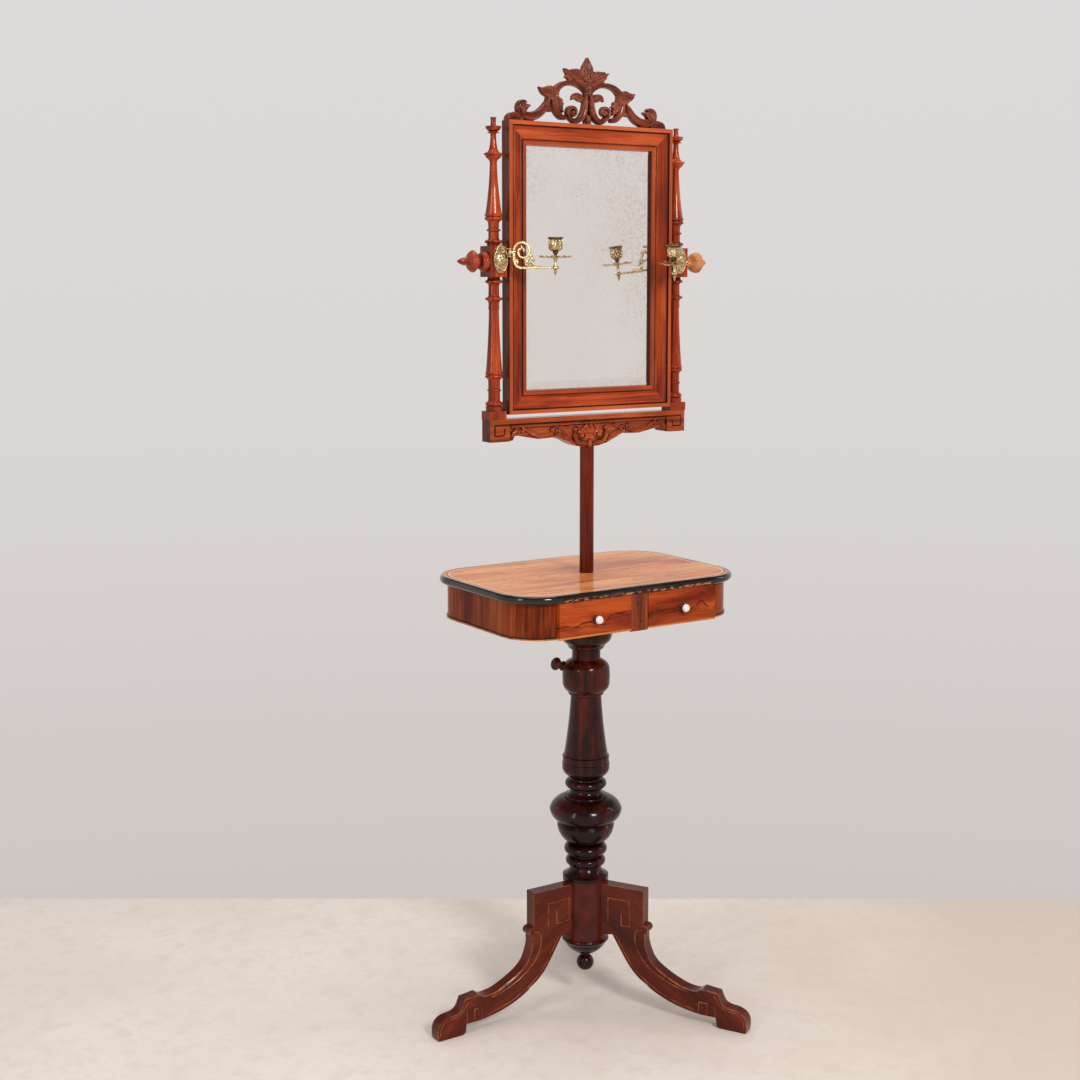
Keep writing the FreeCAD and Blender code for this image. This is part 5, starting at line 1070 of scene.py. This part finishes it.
def lathe(profile, count, origin, axis, shape=None, ring=False):
    """Turns a profile of (radius, height) millimetres about an axis. A ring is closed on itself, and
    any other profile starts and ends on the axis. A shape may move each (radius, height, angle)."""
    up = Vector(axis).normalized()
    side = up.orthogonal().normalized()
    other = up.cross(side)
    angles = np.linspace(0, 2 * math.pi, count, endpoint=False)
    radius, height = np.array(profile, float).T
    radius = np.repeat(radius[:, None], count, 1)
    height = np.repeat(height[:, None], count, 1)
    turn = np.repeat(angles[None, :], len(profile), 0)
    if shape:
        radius, height = shape(radius, height, turn)
    across = np.cos(turn)[..., None] * np.array(side) + np.sin(turn)[..., None] * np.array(other)
    grid = np.array(origin, float) + radius[..., None] * across + height[..., None] * np.array(up)
    rows = len(profile)
    points = [tuple(point) for point in grid.reshape(-1, 3)]
    faces = []
    for row in range(rows if ring else rows - 1):
        low, high = row * count, ((row + 1) % rows) * count
        for step in range(count):
            after = (step + 1) % count
            if not ring and row == 0:
                faces.append((0, high + step, high + after))
            elif not ring and row == rows - 2:
                faces.append((low + step, high, low + after))
            else:
                faces.append((low + step, high + step, high + after, low + after))
    faces = outward(np.array(points) - np.array(origin, float), faces)
    used = sorted({index for face in faces for index in face})
    place = {old: new for new, old in enumerate(used)}
    points = [tuple(value * MM for value in points[index]) for index in used]
    return points, [tuple(place[index] for index in face) for face in faces]


def slab(low, high):
    """A plain box between two corners in millimetres."""
    (x0, y0, z0), (x1, y1, z1) = low, high
    points = [(x * MM, y * MM, z * MM) for x in (x0, x1) for y in (y0, y1) for z in (z0, z1)]
    return points, [(0, 1, 3, 2), (4, 6, 7, 5), (0, 4, 5, 1), (2, 3, 7, 6), (0, 2, 6, 4), (1, 5, 7, 3)]


def hinge_frame(side):
    """Middle of a hinge, and the directions out along its arm and up from it."""
    heading, sag, sign = (56.5, 0.0, 1) if side == "left" else (47, 6.5, -1)
    heading, sag = math.radians(heading), math.radians(sag)
    level = Vector((sign * math.cos(heading), -math.sin(heading), 0))
    out = level * math.cos(sag) - Vector((0, 0, 1)) * math.sin(sag)
    up = level * math.sin(sag) + Vector((0, 0, 1)) * math.cos(sag)
    return Vector((-sign * HINGE_X, HINGE_Y, HINGE_Z)), out, up


def plate_relief():
    """Cast oval plate: a leafy edge, a row of pearls, a flower on a boss and scrolls round the screws."""
    work = Carving(-17.0, 17.0, -27.0, 28.0, 0.42)
    edge = []
    for step in range(180):
        angle = 2 * math.pi * step / 180
        lobe = 1 + 0.035 * abs(math.cos(7 * angle)) ** 0.6
        crown = 1.6 * math.exp(-((angle - math.pi / 2) / 0.16) ** 2)
        edge.append((13.9 * lobe * math.cos(angle), 24.3 * lobe * math.sin(angle) + crown))
    inside = work.within(edge)
    work.add(inside, 2.9, 0.9)
    spread = np.hypot(work.x / 13.9, work.z / 24.3)
    work.height = work.height + 1.3 * bell(spread, 0.93, 0.07) * (inside > 0)
    boss = np.hypot(work.x / 9.6, work.z / 10.2)
    work.lift(boss < 1, 3.0 + 2.9 * bulge(boss))
    for step in range(26):
        work.dome(*around(0, 0, 11.3, 360 * (step + 0.5) / 26, 20.6), 1.35, 3.0, 1.7, outline=False)
    with work.same_outline():
        for angle in range(30, 390, 60):
            path = [around(0, 0, 0.5, angle) + (1.4,), around(0, 0, 4.2, angle, 4.4) + (2.6,),
                    around(0, 0, 8.2, angle, 8.8) + (0.6,)]
            work.leaf(curve_through(path, 4), 4.9, 1.9, 1, 0.0, 0.5, 0.9)
        for side in (1, -1):
            for end in (1, -1):
                path = [(side * 2.0, end * 10.6, 1.2), (side * 6.4, end * 12.6, 2.2),
                        (side * 7.6, end * 17.0, 1.9), (side * 4.8, end * 20.4, 0.8)]
                work.leaf(curve_through(path, 5), 3.0, 1.7, 2, 0.12, 0.6, 0.7)
            path = [(side * 9.0, 3.0, 0.8), (side * 10.2, 0.0, 1.6), (side * 9.0, -3.0, 0.8)]
            work.leaf(curve_through(path, 5), 3.4, 1.2, 1)
    work.dome(0, 0, 2.2, 6.2, 1.4, outline=False)
    for rise in (-17.0, 17.0):
        away = np.hypot(work.x, work.z - rise)
        work.height = np.where(away < 4.0, np.minimum(work.height, 3.6), work.height)
    return work.shell(0.0)


def arm_relief():
    """Cast arm in its own plane: a ribbon that drops to the straight part, a C-scroll with pearls,
    its inner curl, and leaves where they meet."""
    work = Carving(1.6, 93.0, -32.0, 21.0, 0.42)
    across, rise = 22.4, 2.5

    def on_circle(radius, degrees):
        return around(across, rise, radius, degrees)

    bar = curve_through([(3.0, 0.2, 1.9), (6.2, -1.2, 1.9), (7.4, -4.6, 2.0), (7.6, -10.5, 2.0),
                         (8.9, -17.2, 2.1), (12.6, -22.4, 2.2), (18.2, -25.4, 2.2), (26, -26, 2.1),
                         (42, -26, 1.9), (64, -26, 1.8), (80, -26, 1.7), (87, -26, 1.6), (92.4, -26, 0.5)], 6)
    work.band(bar, 1.9, 0.4, 0.5)
    work.roll([(2.0, 0.4, 2.2), (8.0, 2.0, 2.2)], 1.5, 0.8)
    # the scroll's outer turn, its inner turn and the curl at its end
    scroll = [on_circle(15.0, 186 - 8 * step) + (2.0,) for step in range(24)]
    scroll += [on_circle(15.0 - 8.4 * (step / 22) ** 0.9, -6 - 8 * step) + (1.9 - 0.3 * step / 22,)
               for step in range(23)]
    scroll += [on_circle(6.6 - 2.4 * step / 12, -190 - 15 * step) + (1.6 - 0.3 * step / 12,)
               for step in range(1, 13)]
    work.band(scroll, 1.6, 0.35, 0.5)
    for step in range(4, 16):
        x, z = on_circle(16.6, 196 - 12 * step)
        work.dome(x, z, 1.0, 0.9, 0.9)
    x, z = on_circle(3.2, 20)
    work.dome(x, z, 2.0, 1.2, 0.9)
    leaves = (
        ([(35.6, 1.0, 1.2), (37.6, -4.0, 3.2), (40.4, -9.4, 3.6), (43.8, -13.6, 2.2), (46.8, -15.4, 0.4)], 3),
        ([(27, -8.4, 1.5), (29.4, -13.6, 2.7), (32.4, -18.6, 3.3), (37, -22.4, 2.9), (42.6, -24.6, 1.4)], 3),
        ([(35.0, -12.0, 0.5), (36.4, -15.6, 2.0), (39.0, -19.2, 2.4), (44.0, -21.6, 0.5)], 2),
        ([(29, -25.4, 1.6), (37, -24.0, 3.3), (46, -23.8, 3.3), (54, -24.9, 2.5), (62, -26, 1.2)], 4),
        ([(8.6, -9.0, 1.0), (11.8, -12.6, 2.4), (13.2, -17.4, 2.2), (12.2, -21.6, 0.6)], 2),
        ([(15.6, 4.2, 0.6), (19.0, 5.6, 1.7), (21.4, 9.4, 1.7), (21.6, 13.0, 0.4)], 2),
    )
    for path, lobes in leaves:
        work.leaf(curve_through(path, 5), 0.9, 0.9, lobes, 0.16, 0.5, 0.5)
    work.height = np.minimum(work.height, np.where(work.x < 11.5, 1.8, 2.3))
    return work.shell(both_sides=True)


def pan_shape(radius, height, turn):
    """Eight petals round a dished pan, their tips turned up."""
    far = np.clip((radius - 12.0) / 16.2, 0, 1)
    petal = np.abs(np.cos(4 * turn))
    reach = 1 - 0.15 * far ** 2 * (1 - petal ** 0.6)
    lift = far ** 2 * (3.0 * petal ** 2 - 1.7) + 0.35 * far * np.cos(16 * turn)
    return radius * reach, height + lift


def cup_skin(radius, height, turn):
    """Leaves cast on the belly of a cup, with a row of pearls above them."""
    share = np.clip((height - 3.4) / 15.4, 0, 1)
    relief = np.zeros(radius.shape)
    for count, shift, foot, top, depth in ((6, 0.0, 0.0, 1.0, 1.0), (6, 0.5, 0.0, 0.72, 0.62),
                                           (12, 0.25, 0.3, 0.9, 0.3)):
        place = ((turn * count / (2 * math.pi) + shift) % 1) - 0.5
        grown = np.clip((share - foot) / (top - foot), 0, 1)
        half = 0.44 * np.sin(math.pi * grown) ** 0.55 * (1 - 0.35 * grown) + 1e-6
        inside = np.clip(1 - np.abs(place) / half, 0, 1)
        veins = 0.62 + 0.38 * np.cos(9 * math.pi * grown + 7 * np.abs(place))
        blade = smooth_step(inside, 0.0, 0.3) * veins
        rib = 0.4 * bell(place, 0, 0.035) * (inside > 0)
        relief = np.maximum(relief, depth * (blade + rib))
    pearls = np.clip(np.cos(turn * 20), 0, 1) ** 0.7 * bell(height, 20.6, 0.9)
    outer = radius > 9.99 - 4 * (height < 9)
    return radius + np.where(outer, relief * 1.7 + 0.8 * pearls, 0), height


def tube(low, high, inner, outer, origin, axis, round_edge=0.5):
    """A short tube with eased rims."""
    profile = [(inner, low), (outer - round_edge, low), (outer, low + round_edge), (outer, (low + high) / 2),
               (outer, high - round_edge), (outer - round_edge, high), (inner, high)]
    return lathe(profile, 40, origin, axis, ring=True)


def brass_piece(name, parts, body, finish, angle=48):
    piece = soften(join(name, parts, FINISH[finish]), angle)
    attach(piece, body)
    return piece


for side in ("left", "right"):
    hinge, out, up = hinge_frame(side)
    sign = -1 if side == "left" else 1
    arm, level = f"arm_{side}", Vector((0, 0, 1))
    plate = [lay(plate_relief(), (sign * POST_X, POST_FACE, PIVOT_Z + 4.0), *FRONT_WAY)]
    for low in (-7.9, 5.3):
        plate.append(tube(low, low + 2.6, 1.5, 3.4, hinge, level))
        plate.append(slab((hinge.x - 2.6, hinge.y + 2.0, hinge.z + low + 0.05),
                          (hinge.x + 2.6, POST_FACE, hinge.z + low + 2.55)))
    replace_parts(brass_piece(f"cast_plate_{side}", plate, "mirror_stand", "brass"), f"sconce_plate_{side}")

    sideways = out.cross(up)
    end = hinge + out * ARM_REACH - up * ARM_DROP
    cast = [lay(arm_relief(), hinge, out, up, sideways), tube(-5.0, 5.0, 1.6, 3.4, hinge, level),
            tube(-2.6, 2.6, 2.05, 5.0, end, up, 0.9)]
    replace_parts(brass_piece(f"cast_arm_{side}", cast, arm, "brass"), f"sconce_arm_{side}")

    profile = [(2.05, 0.9), (2.05, -13.7), (3.0, -13.7), (3.5, -12.6), (2.6, -10.8), (2.5, -7.0),
               (2.9, -3.6), (4.0, -1.4), (5.6, -0.1)]
    profile += [(6 + 1.1 * step, 0.09 * max(step - 8, 0) ** 1.25) for step in range(1, 21)] + [(28.3, 2.7)]
    profile += [(27.8 - 1.1 * step, 0.95 + 0.09 * max(12 - step, 0) ** 1.25) for step in range(20)]
    profile += [(5.6, 1.15), (4.0, 1.0)]
    pan = lathe(profile, 160, end + up * 16.4, up, pan_shape, ring=True)
    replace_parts(brass_piece(f"cast_pan_{side}", [pan], arm, "brass", 60), f"drip_pan_{side}")

    foot = end + up * 25.0
    urn = [(0, -34.6), (2.0, -34.6), (2.0, -7.55), (3.4, -7.5), (3.9, -6.6), (2.7, -5.0), (2.5, -3.4),
           (3.2, -1.4), (4.6, 0.2), (5.0, 1.2), (4.4, 2.4), (5.8, 3.4), (8.4, 4.8), (10.0, 7.0),
           (10.7, 10.0), (10.8, 14.0), (10.5, 18.0), (10.4, 21.0), (10.9, 22.6), (12.2, 24.4), (13.5, 25.2),
           (13.6, 26.0), (13.4, 26.8), (12.8, 27.0), (10.4, 27.0), (10.0, 24.0), (9.4, 14.0), (8.6, 9.6),
           (0, 9.6)]
    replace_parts(brass_piece(f"turned_cup_{side}", [lathe(urn, 72, foot, up)], arm, "dark_brass", 60),
                f"candle_cup_{side}")
    drop = [(0, -7.2), (1.9, -7.3), (3.2, -8.2), (2.6, -9.2), (3.1, -11.0), (2.2, -12.8), (1.6, -13.6),
            (1.9, -15.0), (0.9, -17.6), (0, -18.4)]
    drop = [(radius, height + DROP_LIFT) for radius, height in drop]
    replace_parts(brass_piece(f"turned_drop_{side}", [lathe(drop, 40, end, up)], arm, "brass", 60),
                f"arm_nut_{side}")
    skin = curve_through([(5.6, 3.5), (8.3, 4.7), (9.9, 7.1), (10.6, 10.0), (10.8, 14.0), (10.6, 18.0),
                          (10.6, 21.0), (10.8, 22.4)], 6)
    inner = [(radius - 0.7, height) for radius, height in skin[::-6]]
    relief = lathe([tuple(row) for row in skin] + inner, 144, foot, up, cup_skin, ring=True)
    brass_piece(f"cup_leaves_{side}", [relief], arm, "brass", 60)


# ---------------------------------------------------------------- legs with their incised lines
LEG_OUTLINE = (
    (29, 233.5), (124, 233.5), (124, 167.5), (127.5, 167.3), (129.3, 166.5), (130.9, 165.4), (132.2, 163.8),
    (133.1, 162), (133.5, 160.1), (133.4, 158.1), (132.8, 156.2), (131.7, 154.5), (130.3, 153.1),
    (128.6, 152.1), (126.9, 151.4), (126.7, 143.5), (126.9, 137.6), (127.7, 131.4), (129.2, 125.3),
    (131.2, 119.2), (133.5, 113.9), (136.1, 109.1), (139.1, 104.7), (142.7, 100.3), (147, 96.1), (152, 92),
    (158, 87.8), (165.1, 83.5), (173.7, 78.9), (184.4, 73.8), (195.3, 69), (202.9, 66.1), (209.8, 64),
    (215.9, 62.8), (221.8, 62), (226.9, 61.8), (232, 62), (242, 68), (272, 65), (276.2, 54.7), (277.9, 51),
    (280.7, 46.8), (284.5, 43.6), (290.1, 41.5), (296.5, 40.5), (302.8, 39.9), (308.3, 39.2), (315, 37),
    (320, 34), (323.6, 30.6), (325.7, 27.3), (327.1, 23.8), (328.1, 19.4), (328.5, 12.6), (328.3, 8.3),
    (327.6, 4.1), (326.5, 0), (277, 0), (271, 4), (269, 19), (240, 19), (226.6, 20.5), (213.3, 22.6),
    (200.4, 25.1), (189.1, 27.9), (178.8, 31), (169.3, 34.3), (160.4, 38), (150.8, 42.5), (141.2, 47.7),
    (131.6, 53.6), (123, 59.5), (115.7, 65.1), (109.4, 70.6), (104, 76), (98.7, 82), (93.3, 89.1),
    (87.4, 97.6), (81.8, 106.6), (74.6, 118.3), (66.9, 131), (62, 139), (47, 137), (29, 137),
)
LEFT_KEY = [(93, 154), (91, 207), (45, 208), (45, 167), (74, 165), (73, 194)]
RIGHT_KEY = [(53, 164), (53, 209), (96, 209), (97, 160), (80, 160), (80, 184)]


def leg_carving(key):
    work = Carving(28.6, 329.4, 0.0, 233.6, 0.94)
    work.inside = work.within(LEG_OUTLINE)
    work.height[:] = LEG_HALF
    sweep = curve_through([(122, 158.4), (114.4, 157.2), (109.4, 152.0), (107.8, 142), (110, 127),
                           (115, 115), (122, 104.4), (131, 94.6), (142, 86), (155, 78), (170, 70.6),
                           (186, 64.4), (202, 59.6), (216, 57.4)], 3)
    under = curve_through([(69, 139), (74, 130.2), (81.4, 118.4), (93, 99.6), (104, 85.2), (115, 74.4),
                           (127.6, 64.2), (145.4, 52.8), (163.6, 43.6), (181, 36.8), (202, 31.2),
                           (226, 26.6)], 3)
    toe = curve_through([(266, 60), (271.6, 50.6), (278, 43), (286, 38.2), (296, 36.2), (308, 34.8),
                         (317, 29.8), (322.6, 22), (323.6, 10)], 3)
    for path, half, depth in ((key, 1.15, 1.3), (sweep, 1.3, 1.5), (under, 1.2, 1.3), (toe, 1.1, 1.0),
                              ([(236, 43), (236, 22)], 1.0, 1.1), ([(244, 41), (244, 27)], 0.9, 0.9),
                              ([(236, 43), (252, 43), (252, 23)], 1.0, 1.1),
                              ([(268, 40), (268, 22)], 1.0, 1.0)):
        work.cut(path, half, depth)
    edge = smooth_step(work.inside, 0.0, 1.5)
    chamfer = np.exp(-((work.x - 168) / 44) ** 6) * (work.z > 52) * (work.z < 110)
    work.height -= 0.9 * (1 - edge) + 1.7 * chamfer * (1 - smooth_step(work.inside, 0.6,
        4.6)) * (work.x > 120)
    return work.shell(both_sides=True)


for name, heading in LEG_HEADINGS.items():
    turn = math.radians(heading)
    leg_out = Vector((math.cos(turn), math.sin(turn), 0))
    shell = leg_carving(RIGHT_KEY if name == "leg_front" else LEFT_KEY)
    leg = soften(mesh_piece(f"incised_{name}", *lay(shell, (0, 0, 0), leg_out, (0, 0, 1),
                                                    leg_out.cross(Vector((0, 0, 1)))),
                            LEG_FINISH[name]), 40)
    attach(leg, "base")
    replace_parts(leg, name)


# ---------------------------------------------------------------- floor, lights and camera
def make_world():
    world = bpy.data.worlds.new("studio")
    world.use_nodes = True
    tree = world.node_tree
    tree.nodes.clear()
    path = put(tree, "ShaderNodeLightPath").outputs
    mirrored = maths("MAXIMUM", path["Is Glossy Ray"], path["Is Transmission Ray"])
    seen = maths("MAXIMUM", path["Is Camera Ray"], mirrored)
    rise = split(put(tree, "ShaderNodeTexCoord").outputs["Generated"])[2]
    wall = blend(span(rise, -0.36, -0.10), srgb(205, 197, 194), srgb(218, 214, 212))
    wall = blend(span(rise, -0.10, 0.15), wall, srgb(221, 218, 218))
    wall = blend(span(rise, -0.40, -0.48, smooth=True), wall, srgb(220, 208, 198))
    wall = blend(span(rise, 0.28, 0.6, smooth=True), wall, srgb(120, 117, 116))
    shown = put(tree, "ShaderNodeBackground", {0: wall, 1: 1.0})
    lit = put(tree, "ShaderNodeBackground", {0: srgb(222, 218, 216), 1: 0.6})
    mixed = put(tree, "ShaderNodeMixShader", {0: seen, 1: lit.outputs[0], 2: shown.outputs[0]})
    end = put(tree, "ShaderNodeOutputWorld")
    fill(end, {"Surface": mixed.outputs[0]})
    bpy.context.scene.world = world


def make_floor():
    """A pale floor that ends at the wall and fades into the backdrop on its other sides, with painted shade
    darker towards the viewer's right.
    """
    rings, spokes = (0.3, 0.6, 0.9, 1.2, 1.6, 2.0, 2.6), 96
    points, faces = [(0, 0, 0)], []
    for radius in rings:
        points.extend(around(0, 0, radius, 360 * spoke / spokes) + (0,) for spoke in range(spokes))
    for spoke in range(spokes):
        after = (spoke + 1) % spokes
        faces.append((0, 1 + spoke, 1 + after))
        for ring in range(len(rings) - 1):
            low, high = 1 + ring * spokes, 1 + (ring + 1) * spokes
            faces.append((low + spoke, high + spoke, high + after, low + after))
    material, skin, place = start_finish("pale_floor")
    away = put(material.node_tree, "ShaderNodeVectorMath", {0: place}, operation="LENGTH").outputs["Value"]
    before_wall = span(distance_along(place, TO_WALL), WALL_DISTANCE, WALL_DISTANCE - 0.015)
    stain = cloud(place, 3.0, 4.0)
    fine = cloud(place, 22.0, 6.0, 0.65)
    colour = blend(span(stain, 0.35, 0.65), srgb(244, 235, 227), srgb(236, 225, 215))
    colour = blend(span(fine, 0.5, 0.66, 0.0, 0.5), colour, srgb(222, 208, 196))
    rough_patches = span(cloud(place, 60.0, 8.0, 0.7), 0.36, 0.64)
    colour = tint(colour, rough_patches, 0.5, (230, 218, 208))
    # painted shade: the floor darkens towards the viewer's right
    right = distance_along(place, TO_THE_RIGHT)
    painted_shade_to_the_right = span(plus(right, times(stain, 0.4)), 0.3, 1.1, 0.0, 0.75, smooth=True)
    colour = blend(painted_shade_to_the_right, colour, srgb(216, 199, 186))
    rough = span(stain, 0.3, 0.7, 0.5, 0.65)
    fill(skin, {"Base Color": colour, "Roughness": rough,
                "Alpha": times(span(away, 2.3, 1.25, smooth=True), before_wall)})
    piece = mesh_piece("floor", points, faces, material, smooth=False)


def add_lamp(name, place, aim, size, power, colour=(1, 1, 1)):
    lamp = bpy.data.lights.new(name, "AREA")
    lamp.shape = "RECTANGLE"
    lamp.size, lamp.size_y = size
    lamp.energy = power
    lamp.color = colour
    holder = bpy.data.objects.new(name, lamp)
    holder.location = place
    holder.rotation_euler = (Vector(aim) - Vector(place)).to_track_quat("-Z", "Y").to_euler()
    bpy.context.scene.collection.objects.link(holder)


make_world()
make_floor()
add_lamp("window_light", (-0.4, -3.4, 2.7), (0, 0, 1.0), (0.8, 0.8), 74, (1.0, 0.985, 0.96))
add_lamp("left_fill", (-3.0, -0.9, 1.9), (0, 0, 0.9), (0.5, 1.5), 17, (0.97, 0.98, 1.0))
add_lamp("right_fill", (3.2, -1.2, 2.5), (0, 0, 0.9), (0.45, 1.6), 9, (1.0, 0.985, 0.96))
add_lamp("ceiling_light", (0.0, 0.2, 3.6), (0, 0, 0.8), (2.2, 2.2), 36)

eye = bpy.data.cameras.new("main_camera")
eye.lens = 54.82
eye.sensor_width = 36.0
eye.shift_y = -0.06
eye.dof.use_dof = False
eye.clip_end = 50.0
camera = bpy.data.objects.new("main_camera", eye)
camera.location = (-1.7128, -2.4586, 1.3582)
camera.rotation_euler = (math.radians(90 - 6.807), 0, math.radians(-33.222))
bpy.context.scene.collection.objects.link(camera)
bpy.context.scene.camera = camera
bpy.context.scene.view_settings.view_transform = "Standard"
